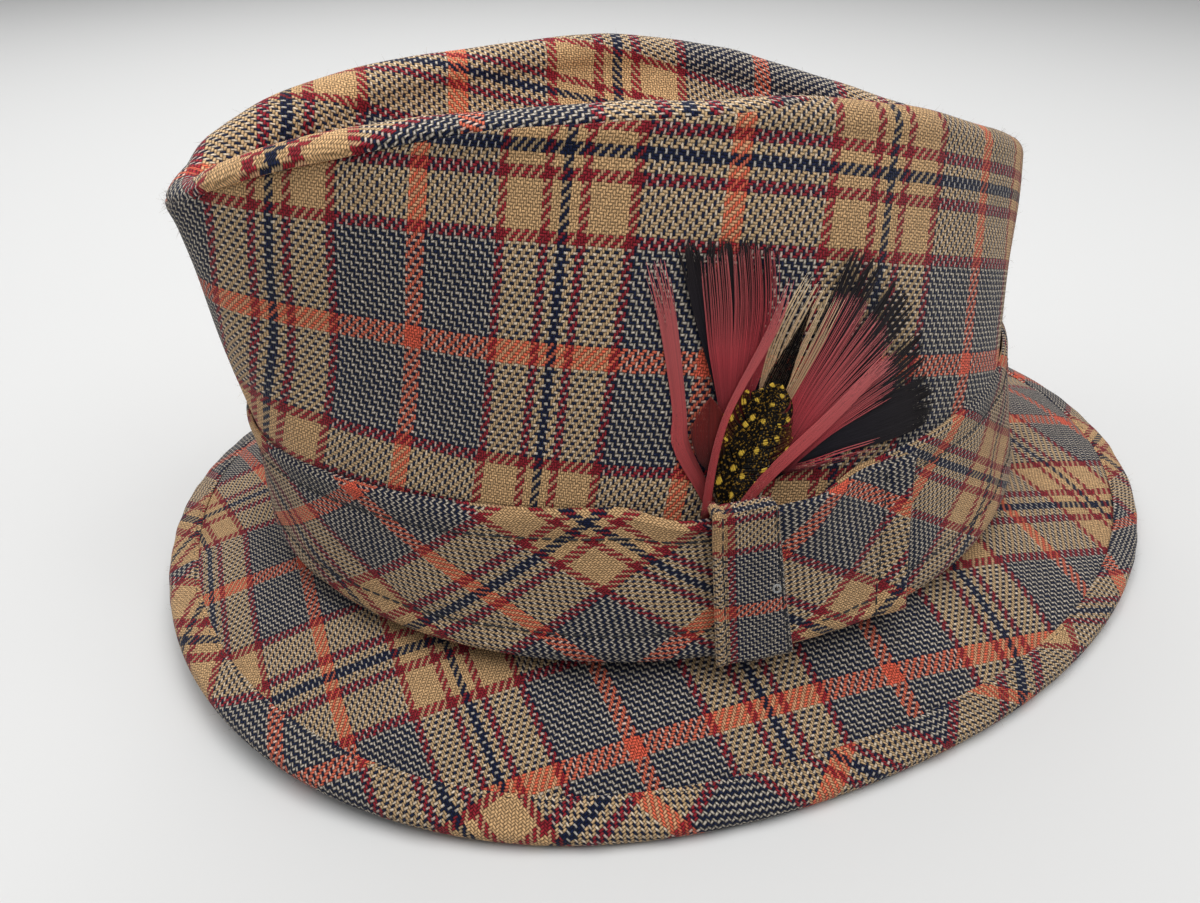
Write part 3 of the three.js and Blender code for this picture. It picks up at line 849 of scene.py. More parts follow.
@dataclass(frozen=True)
class FibreFinish:
    """A finish for strands: a tone along each strand, and a tone of its own for each."""

    name: str
    root: str
    middle: str
    tip: str
    roughness: float = 0.55
    sheen: float = 0.2
    specular: float = 0.35
    spread: float = 0.45
    middle_at: float = 0.45
    strand_scale: float = 900.0

    def make(self) -> bpy.types.Material:
        """Make the finish. A strand's first coordinate runs along it, and the second tells strands apart."""
        material, tree, shader = start_finish(self.name)
        tags = add_node(tree, "ShaderNodeUVMap", uv_map=FIBRE_MAP).outputs[0]
        split = add_node(tree, "ShaderNodeSeparateXYZ", {0: tags})
        stops = [(0.0, linear(self.root)), (self.middle_at, linear(self.middle)), (1.0, linear(self.tip))]
        base = add_node(tree, "ShaderNodeValToRGB", {0: split.outputs[0]}, stops).outputs[0]
        own_links = {"W": split.outputs[1], "Scale": self.strand_scale, "Detail": 0.0}
        own = add_node(tree, "ShaderNodeTexNoise", own_links, noise_dimensions="1D").outputs[0]
        tone = add_node(tree, "ShaderNodeMath", {0: own, 1: 2 * self.spread, 2: 1 - self.spread},
                        operation="MULTIPLY_ADD").outputs[0]
        colour = add_node(tree, "ShaderNodeVectorMath", {0: base, 3: tone}, operation="SCALE").outputs[0]
        join(tree, shader, {"Base Color": colour, "Roughness": self.roughness,
                            "Specular IOR Level": self.specular, "Sheen Weight": self.sheen})
        return material


@dataclass(frozen=True)
class SpottedFinish:
    """Natural game feather: near-black barbs with round yellow spots, finer flecks and a tan edge."""

    name: str = "natural_spotted_feather"
    ground: str = "#060403"
    spot: str = "#D2AE40"
    fleck: str = "#7E5E1C"
    edge: str = "#5A2810"
    spot_pitch: float = 3.5
    spot_radius: float = 0.52
    unevenness: float = 0.7
    fleck_size: float = 0.5
    edge_from: float = 4.6
    edge_full: float = 8.4
    spot_rim: float = 1.25
    spot_core: float = 0.85
    fleck_from: float = 0.57
    fleck_full: float = 0.64
    roughness: float = 0.55
    specular: float = 0.12

    def make(self) -> bpy.types.Material:
        """Make the finish. It reads millimetres across and along the feather."""
        material, tree, shader = start_finish(self.name)
        place = add_node(tree, "ShaderNodeUVMap", uv_map=FIBRE_MAP).outputs[0]
        cell_links = {"Vector": place, "Scale": 1 / self.spot_pitch, "Randomness": self.unevenness}
        cell = add_node(tree, "ShaderNodeTexVoronoi", cell_links,
                        voronoi_dimensions="2D").outputs["Distance"]
        reach = self.spot_radius / self.spot_pitch
        spot_links = {"Value": cell, "From Min": reach * self.spot_rim, "From Max": reach * self.spot_core}
        spot = add_node(tree, "ShaderNodeMapRange", spot_links).outputs[0]
        fleck_links = {"Vector": place, "Scale": 1 / self.fleck_size, "Detail": 2.0}
        fleck = add_node(tree, "ShaderNodeTexNoise", fleck_links, noise_dimensions="2D").outputs[0]
        shown_links = {"Value": fleck, "From Min": self.fleck_from, "From Max": self.fleck_full}
        shown = add_node(tree, "ShaderNodeMapRange", shown_links).outputs[0]
        split = add_node(tree, "ShaderNodeSeparateXYZ", {0: place})
        across = add_node(tree, "ShaderNodeMath", {0: split.outputs[0]}, operation="ABSOLUTE").outputs[0]
        edge_links = {"Value": across, "From Min": self.edge_from, "From Max": self.edge_full}
        edge = add_node(tree, "ShaderNodeMapRange", edge_links).outputs[0]
        dark = add_node(tree, "ShaderNodeMix", {0: edge, 6: linear(self.ground), 7: linear(self.edge)},
                        data_type="RGBA").outputs[2]
        ground = add_node(tree, "ShaderNodeMix", {0: shown, 6: dark, 7: linear(self.fleck)},
                          data_type="RGBA").outputs[2]
        colour = add_node(tree, "ShaderNodeMix", {0: spot, 6: ground, 7: linear(self.spot)},
                          data_type="RGBA").outputs[2]
        join(tree, shader, {"Base Color": colour, "Roughness": self.roughness,
                            "Specular IOR Level": self.specular})
        return material


@dataclass(frozen=True)
class ClearThread:
    """Drawn nylon thread: smooth and clear, with a grey edge and a small glint."""

    name: str = "drawn_clear_nylon"
    colour: str = "#C9C9C6"
    cloud_size: float = 0.8
    cloud_low: float = 0.6
    cloud_reach: float = 0.5
    roughness: float = 0.15
    ior: float = 1.53
    transmission: float = 0.45

    def make(self) -> bpy.types.Material:
        """Make the finish, a little cloudy where the thread was cut."""
        material, tree, shader = start_finish(self.name)
        place = add_node(tree, "ShaderNodeTexCoord").outputs["Object"]
        cloud_links = {"Vector": place, "Scale": 1 / (self.cloud_size * MM)}
        cloud = add_node(tree, "ShaderNodeTexNoise", cloud_links).outputs[0]
        tone = add_node(tree, "ShaderNodeMath", {0: cloud, 1: self.cloud_reach, 2: self.cloud_low},
                        operation="MULTIPLY_ADD").outputs[0]
        tint = add_node(tree, "ShaderNodeVectorMath", {0: linear(self.colour)[:3], 3: tone},
                        operation="SCALE").outputs[0]
        join(tree, shader, {"Base Color": tint, "Roughness": self.roughness, "IOR": self.ior,
                            "Transmission Weight": self.transmission})
        return material


@dataclass
class Finishes:
    """Every finish on the hat, made once."""

    plaid: WovenPlaid = field(default_factory=WovenPlaid)
    made: dict[str, bpy.types.Material] = field(default_factory=dict)

    def prepare(self) -> None:
        """Make the materials."""
        finishes = {
            "wool_plaid": self.plaid,
            # The same cloth, painted lighter on the side of the crown and more so on its top, to match how
            # they show: lit copies of one cloth, painted light for the light those faces catch
            "painted_lit_side_plaid": replace(self.plaid, name="worsted_wool_twill_plaid_painted_lit_side", strength=1.04),
            "painted_lit_top_plaid": replace(self.plaid, name="worsted_wool_twill_plaid_painted_lit_top", strength=1.32),
            "clear_thread": ClearThread(),
            # Goose and hackle barbs dyed in a bath: even colour, with painted shade darkening them towards
            # the root where they go in behind the band, satin along each barb
            "feather_pink": FibreFinish("dyed_pink_barbs", "#5A0E18", "#BC444C", "#CC7070",
                                        sheen=0.03),
            "dyed_biot": FibreFinish("dyed_pink_biot", "#B23E42", "#D25C5E", "#CC7070", spread=0.2,
                                     sheen=0.05),
            "feather_slate": FibreFinish("dyed_slate_barbs", "#17151B", "#25222A", "#221D1E",
                                         sheen=0.02, specular=0.15),
            # Undyed barbs: pale horn colour with a soft gloss
            "feather_cream": FibreFinish("natural_cream_barbs", "#7A4438", "#D2AC84", "#E2C8A0"),
            "feather_dark": FibreFinish("natural_dark_spike", "#080504", "#0B0706", "#120C09",
                                        sheen=0.02, specular=0.1),
            "feather_russet": FibreFinish("natural_russet_barbs", "#300A0A", "#741A16", "#82241A",
                                          sheen=0.03),
            "feather_spotted": SpottedFinish(),
            # Spun polyester sewing thread: dark, tightly twisted, with a faint gloss
            "sewing_thread": FibreFinish("spun_navy_sewing_thread", "#0C0E16", "#0C0E16", "#0C0E16",
                                         roughness=0.6),
            # Loose wool ends: fine pale hairs that stand off the cloth
            "wool_hair": FibreFinish("loose_wool_hair", "#6E6255", "#8B7D6B", "#A79A86",
                                     roughness=0.8),
        }
        self.made = {name: finish.make() for name, finish in finishes.items()}

    def dress(self, piece: bpy.types.Object, slot: str, *nodes: str) -> bpy.types.Object:
        """Hide the solids that a piece stands for, and give back the piece."""
        if nodes:
            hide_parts(*nodes)
        return piece

    def sheet(self, node: str, face: Array, back: Array, uv: Array, ring: bool,
              finish: str = "wool_plaid", closed: bool = False) -> bpy.types.Object:
        """Write and dress a piece of plaid cloth.

        Args:
            node: Solid that the piece stands for.
            face: Outer points as columns, rows and x, y, z.
            back: Inner points, laid out alike.
            uv: Cloth coordinates of the outer points. A ring's has one column more.
            ring: Whether the last column meets the first.
            finish: Which of the plaids it is cut from.
            closed: Whether the last row is welded to itself.

        Returns:
            The piece.
        """
        maker = MeshMaker(node + "_cloth", CLOTH_MAP)
        maker.add_sheet(face, back, uv, ring, shut_end=not closed)
        piece = maker.write(self.made[finish], weld=closed)
        return self.dress(piece, "wool_plaid", node)


@dataclass
class Stitches:
    """Rows of machine stitches, gathered over the hat and written as one piece."""

    length: float = 2.3
    gap: float = 0.5
    radius: float = 0.2
    fine_radius: float = 0.09
    steps: int = 7
    arch: float = 0.12
    fine_arch: float = 0.02
    dive: float = 0.42
    paths: list[Array] = field(default_factory=list)
    normals: list[Array] = field(default_factory=list)
    sizes: list[Array] = field(default_factory=list)

    def sew(self, line: Array, normals: Array, fine: bool = False) -> None:
        """Sew along a line.

        Args:
            line: Points of the line on the cloth.
            normals: Direction away from the cloth at those points.
            fine: Whether the thread is the fine one, drawn down into the cloth.
        """
        run = length_along(line)
        pitch = self.length + self.gap
        starts = np.arange(0, run[-1] - self.length, pitch)
        share = np.linspace(0, 1, self.steps)
        where = starts[:, None] + share * self.length
        path = np.stack([np.interp(where, run, line[:, k]) for k in range(3)], -1)
        normal = unit(np.stack([np.interp(where, run, normals[:, k]) for k in range(3)], -1))
        arch = (self.fine_arch if fine else self.arch) - self.dive * (2 * share - 1) ** 4
        self.paths.append(path + normal * arch[:, None])
        self.normals.append(normal)
        self.sizes.append(np.full(path.shape[:2], self.fine_radius if fine else self.radius))

    def build(self, finishes: Finishes) -> bpy.types.Object:
        """Write every stitch as one piece of sewing thread."""
        paths = np.concatenate(self.paths)
        normals = np.concatenate(self.normals)
        maker = MeshMaker("sewn_stitches", FIBRE_MAP)
        size = np.concatenate(self.sizes)
        along = np.broadcast_to(np.linspace(0, 1, paths.shape[1]), paths.shape[:2])
        strand = np.broadcast_to(np.arange(len(paths))[:, None] / len(paths), paths.shape[:2])
        maker.add_strands(paths, normals, size, size, np.stack([along, strand], -1), sides=6)
        piece = maker.write(finishes.made["sewing_thread"])
        return finishes.dress(piece, "wool_plaid")


@dataclass
class Crown:
    """The crown: its side, its creased top and the seam between them."""

    form: HatForm
    finishes: Finishes
    columns: int = 320
    wall_rows: int = 64
    fold_rows: int = 14
    dip_rows: int = 40
    thickness: float = 2.0
    wall_share: float = 0.88
    seam_round: float = 1.6
    flush_seam_round: float = 0.5
    seam_allowance: tuple[float, ...] = (0.5, 1.2, 2.2)
    back_seam_depth: float = 0.5
    back_seam_width: float = 1.3
    back_radius: float = 80.0
    lip_shelter: float = 1.5
    least_turn: float = 0.15
    tuck_clearance: float = 0.15
    least_tuck: float = 0.3
    tuck_run: float = 0.9
    least_wall: float = 0.8
    still_edge: float = 8.0
    still_seam: float = 6.0
    still_past_seam: float = 0.5
    lip_rows: int = 6
    side_waves: tuple[Wave, ...] = ((0.55, 62, 11), (0.2, 19, 12))
    top_waves: tuple[Wave, ...] = ((0.5, 48, 21), (0.2, 17, 22))
    warp: Lay = Lay(across=-0.663, twist=0.168, bow_across=0.136, reach=139,
                    knots=(-102, -48, 25.5, 104.5, 168, 222.5, 275.5, 330.5, 385))
    weft: Lay = Lay(start=-17.9, along=0.315, across=1.583, twist=-0.046, bow_along=0.168)
    tip_warp: Lay = Lay(start=58.35, along=1.93, across=-0.569, bow_across=-0.367)
    tip_weft: Lay = Lay(start=18.4, along=0.2, across=1.464)
    lay_height: float = 50.0
    surfaces: list[tuple[Array, Array]] = field(default_factory=list)

    def girth(self, theta: Array) -> Array:
        """Measure round the middle of the side from the wearer's left, towards the back."""
        fine = np.linspace(-math.pi / 2, math.pi / 2, 2001)
        line = self.form.crown(fine, np.full_like(fine, 0.5))
        run = length_along(line)
        return np.interp(theta, fine, run - np.interp(0, fine, run))

    def side_cloth(self, theta: Array, t: Array) -> Array:
        """Lay the cloth on the side. It runs on round the front and is joined at the back.

        Args:
            theta: Unwrapped angle, from 90 degrees at the back round the front to 450 degrees.
            t: Place on the section.

        Returns:
            Cloth coordinates in millimetres.
        """
        form = self.form
        right = theta < 1.5 * math.pi
        mirrored = np.where(right, math.pi - theta, theta - 2 * math.pi)
        a = self.girth(mirrored)
        wall = np.linalg.norm(form.crown(theta, np.ones_like(theta)) - form.head_line(theta), axis=-1)
        fold = np.maximum(0, t - 1) * form.fold_radius * math.pi / 2
        h = np.minimum(t, 1) * wall + fold - self.lay_height
        front = self.girth(np.full_like(theta, -math.pi / 2))

        def lay(threads: Lay) -> Array:
            """Count threads, turned about the front on the wearer's right."""
            shown = threads.threads(a, h)
            return np.where(right, 2 * threads.threads(front, h) - shown, shown)

        return self.finishes.plaid.place(lay(self.warp), lay(self.weft), Stripe.ORANGE)

    def edge_round(self, theta: Array) -> Array:
        """Radius of the cloth's edges at the seam, which is pressed flat but for the lip."""
        lip = self.form.past_nose(theta) * self.form.lip_share(theta)
        return lerp(self.flush_seam_round, self.seam_round, lip)

    def side(self) -> bpy.types.Object:
        """Build the side: a wall that folds over the ridge, or runs up under the lip at the front."""
        form = self.form
        wrapped = around(math.pi / 2, self.columns)
        share = np.concatenate([np.linspace(0, self.wall_share, self.wall_rows),
                                np.linspace(self.wall_share, 1, self.fold_rows + 1)[1:]])
        theta, r = np.meshgrid(wrapped, share, indexing="ij")
        over = np.maximum(0, r - self.wall_share) / (1 - self.wall_share)
        fold = np.minimum(r / self.wall_share, 1) + over * (form.fold_level(theta) - 1)
        t = lerp(fold, r * form.seam_under_lip, form.lip_share(theta))
        hidden = np.array(self.seam_allowance) / (form.fold_radius * math.pi / 2)
        t = np.concatenate([t, t[:, -1:] + hidden], axis=1)
        theta = np.broadcast_to(theta[:, :1], t.shape)
        uv = self.side_cloth(theta, t)
        theta = theta[:-1]
        smooth = form.crown(theta, t[:-1])
        normals = grid_normals(smooth, ring=True)
        run = arc_along(smooth)
        to_seam = run[:, -1 - len(hidden), None] - run
        proud = form.proud(theta, form.seam_level(theta))
        waver = ripple(smooth, self.side_waves)
        from_back = np.abs(np.mod(theta + math.pi / 2, 2 * math.pi) - math.pi) * self.back_radius
        turned_in = rounded(np.maximum(to_seam, 0), self.edge_round(theta))
        turned_in = turned_in * np.clip(1 - proud / self.lip_shelter, self.least_turn, 1)
        under_top = np.maximum(self.thickness + self.tuck_clearance - proud, self.least_tuck)
        under_top = under_top * smoothstep(-to_seam, 0, self.tuck_run)
        back_seam = groove(from_back, self.back_seam_depth, self.back_seam_width)
        sink = np.maximum(turned_in, under_top) + back_seam
        waver = waver * smoothstep(run, 0, self.still_edge)
        waver = waver * smoothstep(to_seam, -self.still_past_seam, self.still_seam)
        face = smooth + normals * (waver - sink)[..., None]
        back = smooth - normals * np.maximum(self.thickness, sink + self.least_wall)[..., None]
        back[:, 0, 2] = form.head_z
        self.surfaces.append((face, normals))
        return self.finishes.sheet("crown_side", face, back, uv, ring=True, finish="painted_lit_side_plaid")

    def tip_cloth(self, theta: Array, points: Array) -> Array:
        """Lay the cloth on the top, flattened out from the crease to each side.

        Args:
            theta: Angle of each point.
            points: Points as columns and rows, from the seam to the crease.

        Returns:
            Cloth coordinates in millimetres.
        """
        form = self.form
        crease = form.crease_line(theta)
        out = unit((form.ridge_line(theta) - crease) * np.array([1, 1, 0]))
        run = arc_along(points)
        arc = run[:, -1:] - run
        plan = np.linalg.norm((points - crease)[..., :2], axis=-1)
        spread = plan + (arc - plan) * np.sin(theta) ** 2
        x = out[..., 0] * arc
        y = crease[..., 1] + out[..., 1] * spread
        counts = [lay.threads(x, y) for lay in (self.tip_warp, self.tip_weft)]
        return self.finishes.plaid.place(*counts, Stripe.NAVY)

    def top(self) -> bpy.types.Object:
        """Build the top, from its rolled lip or inner seam down into the crease."""
        form = self.form
        wrapped = around(-math.pi / 2, self.columns)
        levels = np.concatenate([np.linspace(0, 1, self.fold_rows + self.lip_rows),
                                 np.linspace(1, 2, self.dip_rows)[1:]])
        theta, level = np.meshgrid(wrapped, levels, indexing="ij")
        t = np.where(level <= 1, lerp(form.seam_level(theta), 3, level), 2 + level)
        smooth = form.tip(theta, t)
        uv = self.tip_cloth(theta, smooth)
        smooth = smooth[:-1]
        normals = grid_normals(smooth, ring=True)
        run = arc_along(smooth)
        waver = ripple(smooth, self.top_waves)
        sink = rounded(run, self.edge_round(theta[:-1]))
        face = smooth + normals * (waver * smoothstep(run, 0, self.still_edge) - sink)[..., None]
        back = smooth - normals * self.thickness
        crease = form.crease_line(theta[:-1, -1])
        face[:, -1] = crease + UP * waver[:, -1:]
        back[:, -1] = crease - UP * self.thickness
        self.surfaces.append((face, normals))
        return self.finishes.sheet("crown_tip", face, back, uv, ring=True, finish="painted_lit_top_plaid", closed=True)

    def build(self) -> None:
        """Build and dress the crown."""
        self.side()
        self.top()


@dataclass
class Brim:
    """The brim and the strip folded round its edge."""

    form: HatForm
    finishes: Finishes
    stitches: Stitches
    columns: int = 320
    rows: int = 44
    binding_width: float = 9.5
    roll_steps: int = 14
    leg_steps: int = 8
    stitch_in: float = 1.0
    warp: Lay = Lay(start=282.28, along=-0.379, across=2.30, fan=-0.296, bow_across=-0.198)
    weft: Lay = Lay(start=179.04, along=-1.786, across=0.053, bow_across=-0.046)
    lens_angle: float = -0.59
    lens_in: float = 5.0
    lens_thread: float = 18.0
    inner_share: float = 0.02
    tuck_under: float = 2.0
    still_edge: float = 14.0
    still_crown: float = 10.0
    hidden_rows: int = 6
    lean_share: float = 0.7
    binding_round: float = 0.9
    stitch_depth: float = 0.15
    stitch_width: float = 0.5
    waves: tuple[Wave, ...] = ((0.7, 70, 31), (0.2, 22, 32))
    binding_waves: tuple[Wave, ...] = ((0.12, 9, 41),)
    surfaces: list[tuple[Array, Array]] = field(default_factory=list)

    def cloth(self) -> bpy.types.Object:
        """Build the brim's two faces, from its edge in under the crown."""
        form = self.form
        wrapped = around(-math.pi / 2, self.columns)
        theta, u = np.meshgrid(wrapped, np.linspace(1, self.inner_share, self.rows), indexing="ij")
        middle = form.brim_middle(theta, u)
        foot = form.head_line(theta[:, :1]) - UP * (form.gap + form.brim_thickness / 2)
        inner = foot - form.outward(theta[:, :1]) * self.tuck_under
        middle = np.concatenate([middle, foot, inner], axis=1)
        run = arc_along(middle)
        reach = run[:, -2:-1] - run
        away = unit((middle[:, :1] - foot) * np.array([1, 1, 0]))
        plan = foot + away * reach[..., None]
        threads = [lay.threads(plan[..., 0], plan[..., 1]) for lay in (self.warp, self.weft)]
        uv = self.finishes.plaid.place(*threads, Stripe.ORANGE)
        smooth = middle[:-1]
        normals = grid_normals(smooth, ring=True)
        normals[:, -2:] = UP
        free = np.clip(run[:-1] / self.still_edge, 0, 1) * np.clip(reach[:-1] / self.still_crown, 0, 1)
        waver = ripple(smooth, self.waves) * free
        face = smooth + normals * (form.brim_thickness / 2 + waver)[..., None]
        back = smooth + normals * (waver - form.brim_thickness / 2)[..., None]
        self.surfaces.append((face[:, :-self.hidden_rows], normals[:, :-self.hidden_rows]))
        return self.finishes.sheet("brim", face, back, uv, ring=True)

    def binding(self) -> bpy.types.Object:
        """Build the bias strip round the edge: under the brim, round its roll and over it."""
        form = self.form
        theta = around(-math.pi / 2, self.columns)
        rim = form.brim_middle(theta, 1.0)
        along = unit(rim - form.brim_middle(theta, self.lean_share))
        across = unit(UP - along * along[:, 2:])
        table = form.edge_z(theta)[:, None]
        leg = self.binding_width - form.roll_radius
        turn = np.linspace(-math.pi / 2, math.pi / 2, self.roll_steps)
        legs = np.linspace(1, 0, self.leg_steps, endpoint=False)

        def section(radius: float) -> Array:
            """Points of the strip's section at a distance from the middle of the brim."""
            low = rim[:, None] - across[:, None] * radius - along[:, None] * (leg * legs)[:, None]
            roll = (rim[:, None] + across[:, None] * (radius * np.sin(turn))[:, None]
                    + along[:, None] * (radius * np.cos(turn))[:, None])
            high = rim[:, None] + across[:, None] * radius - along[:, None] * (leg * legs[::-1])[:, None]
            points = np.concatenate([low, roll, high], axis=1)
            points[..., 2] = np.maximum(points[..., 2], table)
            return points

        smooth = section(form.roll_radius)
        run = arc_along(smooth)
        girth = length_along(rim)
        from_end = run[:, -1:] - run
        plaid = self.finishes.plaid
        at_lens = np.interp(self.lens_angle, theta, girth)
        x = (girth - at_lens)[:, None] / math.sqrt(2)
        w = (from_end - self.lens_in) / math.sqrt(2)
        uv = plaid.place((x - w) / plaid.warp_pitch + self.lens_thread,
                         (-x - w) / plaid.weft_pitch + self.lens_thread, Stripe.NAVY)
        bare = smooth[:-1]
        normals = grid_normals(bare, ring=True)
        upper = from_end[:-1] < self.binding_width
        wave = ripple(bare, self.binding_waves) * upper
        sunk = (rounded(from_end[:-1], self.binding_round)
                + groove(from_end[:-1] - self.stitch_in, self.stitch_depth, self.stitch_width))
        face = bare + normals * (wave - np.where(upper, sunk, 0))[..., None]
        face[..., 2] = np.maximum(face[..., 2], table[:-1])
        back = section(form.roll_radius - form.binding_thickness)[:-1]
        self.surfaces.append((face[:, self.leg_steps:], normals[:, self.leg_steps:]))
        row = np.abs(from_end[0] - self.stitch_in).argmin()
        line = np.concatenate([face[:, row], face[:1, row]])
        self.stitches.sew(line, np.concatenate([normals[:, row], normals[:1, row]]), fine=True)
        return self.finishes.sheet("brim_binding", face, back, uv, ring=True)

    def build(self) -> None:
        """Build and dress the brim."""
        self.cloth()
        self.binding()


@dataclass
class Band:
    """The bias-cut band round the crown, its free end, the keeper over it and the keeper's clear tack."""

    form: HatForm
    finishes: Finishes
    stitches: Stitches
    columns: int = 360
    rows: int = 26
    tail_start: float = -23.0
    tail_top_end: float = 23.5
    tail_bottom_end: float = 13.0
    tail_top: float = 54.2
    tail_bottom: float = 25.5
    tail_thickness: float = 1.1
    tail_hem: float = 7.5
    tail_curl: float = 2.2
    tail_warp: tuple[float, float, float] = (89.2, -1.66, 0.8)
    tail_weft: tuple[float, float, float] = (137.9, 1.73, 0.85)
    keeper_top_front: float = -28.8
    keeper_bottom_front: float = -31.2
    keeper_back: float = -15.2
    keeper_thickness: float = 1.3
    keeper_piping: float = 2.3
    keeper_hem: float = 1.1
    keeper_red_at: float = 3.8
    keeper_red_thread: float = 38.0
    keeper_orange_at: float = 11.6
    keeper_warp_pitch: float = 0.4
    keeper_weft_pitch: float = 0.347
    tack_y: float = -17.6
    tack_z: float = 39.0
    tack_radius: float = 0.8
    tack_wire: float = 0.25
    girth_height: float = 40.0
    girth_start: float = math.radians(-100)
    lay_height: float = 39.0
    front_warp: tuple[float, float, float] = (92.4, -1.66, 0.8)
    front_weft: tuple[float, float, float] = (136.0, 1.73, 0.77)
    back_warp: tuple[float, float, float] = (232.0, -2.2, 0.8)
    back_weft: tuple[float, float, float] = (215.8, 1.73, 0.85)
    joint: float = 150.0
    stitch_high: float = 48.6
    stitch_high_rise: float = 0.6
    stitch_low: float = 30.2
    stitch_low_rise: float = 1.6
    stitch_rise_from: float = -0.5
    stitch_rise_to: float = 0.6
    stitch_depth: float = 0.4
    stitch_width: float = 0.9
    edge_round: float = 1.1
    hem_round: float = 0.9
    still_edge: float = 3.0
    tail_columns: int = 60
    tail_rows: int = 34
    tail_curl_from: float = 0.7
    tail_curl_full: float = 1.1
    tail_stitch_depth: float = 0.35
    tail_stitch_width: float = 0.8
    tail_stitch_row: int = 4
    tail_stitch_from: float = 0.4
    keeper_rows: int = 40
    keeper_fold_rows: int = 8
    keeper_columns: int = 34
    keeper_piping_height: float = 0.7
    keeper_piping_depth: float = 0.45
    keeper_hem_depth: float = 0.3
    keeper_stitch_width: float = 0.5
    keeper_fold_round: float = 1.0
    keeper_fold_share: float = 0.5
    tack_steps: int = 33
    tack_sides: int = 8
    waves: tuple[Wave, ...] = ((0.35, 34, 51), (0.16, 11, 52))
    tail_waves: tuple[Wave, ...] = ((0.3, 16, 61),)
    keeper_waves: tuple[Wave, ...] = ((0.15, 9, 71),)
    surfaces: list[tuple[Array, Array]] = field(default_factory=list)

    def girth(self, theta: Array) -> Array:
        """Measure round the crown at the middle of the band, from just past the front."""
        fine = np.linspace(self.girth_start - 2 * math.pi, self.girth_start + 2 * math.pi, 4001)
        line = self.form.off_wall(fine, np.full_like(fine, self.girth_height), np.zeros_like(fine))
        run = length_along(line)
        return np.interp(theta, fine, run - np.interp(self.girth_start, fine, run))

    def angle(self, run: Array) -> Array:
        """Find the angle at a distance round the band."""
        fine = np.linspace(-math.pi, math.pi / 2, 3001)
        return np.interp(run, self.girth(fine), fine)

    def threads(self, lay: tuple[float, float, float], run: Array, z: Array) -> Array:
        """Count threads of a lay: where it starts, its slant, and millimetres to a thread."""
        start, slant, pitch = lay
        return (run - start + slant * (z - self.lay_height)) / pitch

    def bias_cloth(self, theta: Array, z: Array) -> Array:
        """Lay the bias strip round the crown, eased on the wearer's right so that it meets at the back.

        Args:
            theta: Angle, counted down from the keeper round the front and on round the back.
            z: Height.

        Returns:
            Cloth coordinates in millimetres.
        """
        run = self.girth(theta)
        whole = self.girth(np.array(self.girth_start + 2 * math.pi))
        ease = smoothstep(-theta, math.pi / 2, 1.5 * math.pi)
        repeat = self.finishes.plaid.repeat
        counts = []
        for front, back in ((self.front_warp, self.back_warp), (self.front_weft, self.back_weft)):
            at_back = np.array(self.girth(np.array(-1.5 * math.pi)))
            height = np.array(self.lay_height)
            apart = self.threads(front, at_back, height) - self.threads(back, at_back + whole, height)
            turns = repeat * np.round(apart / repeat)
            far = self.threads(back, run + whole, z) + turns
            counts.append(lerp(self.threads(front, run, z), far, ease))
        return self.finishes.plaid.place(*counts, Stripe.NAVY)

    def ring(self) -> bpy.types.Object:
        """Build the band, with stitches near both edges."""
        form = self.form
        joint = float(self.angle(np.array(self.joint)))
        wrapped = around(joint - 2 * math.pi, self.columns)
        theta, share = np.meshgrid(wrapped, np.linspace(0, 1, self.rows), indexing="ij")
        top = form.band_top - form.bulge_dip * form.bulge_share(theta, np.full_like(theta, form.band_top))
        z = lerp(form.band_bottom, top, share)
        uv = self.bias_cloth(theta, z)
        theta, z = theta[:-1], z[:-1]
        lift = form.band_lift(theta, z)
        smooth = form.off_wall(theta, z, lift + form.band_thickness)
        normals = grid_normals(smooth, ring=True)
        run = arc_along(smooth)
        edge = np.minimum(run, run[:, -1:] - run)
        rising = smoothstep(theta, self.stitch_rise_from, self.stitch_rise_to)
        high = self.stitch_high + self.stitch_high_rise * rising
        low = self.stitch_low + self.stitch_low_rise * rising
        sunk = rounded(edge, self.edge_round)
        for level in (high, low):
            sunk = sunk + groove(z - level, self.stitch_depth, self.stitch_width)
        waver = ripple(smooth, self.waves)
        face = smooth + normals * (waver * smoothstep(edge, 0, self.still_edge) - sunk)[..., None]
        back = form.off_wall(theta, z, lift)
        self.surfaces.append((face, normals))
        for level in (high[:, 0], low[:, 0]):
            row = np.array([np.interp(v, zs, np.arange(self.rows)) for v, zs in zip(level, z)])
            under = np.floor(row).astype(int)
            column = np.arange(self.columns)
            part = (row - under)[:, None]
            line = lerp(face[column, under], face[column, under + 1], part)
            self.stitches.sew(line, normals[column, under])
        return self.finishes.sheet("hat_band", face, back, uv, ring=True)

    def tail_lift(self, theta: Array, z: Array) -> Array:
        """How far the free end's inner face stands off the crown."""
        return self.form.band_lift(theta, z) + self.form.band_thickness + self.form.gap

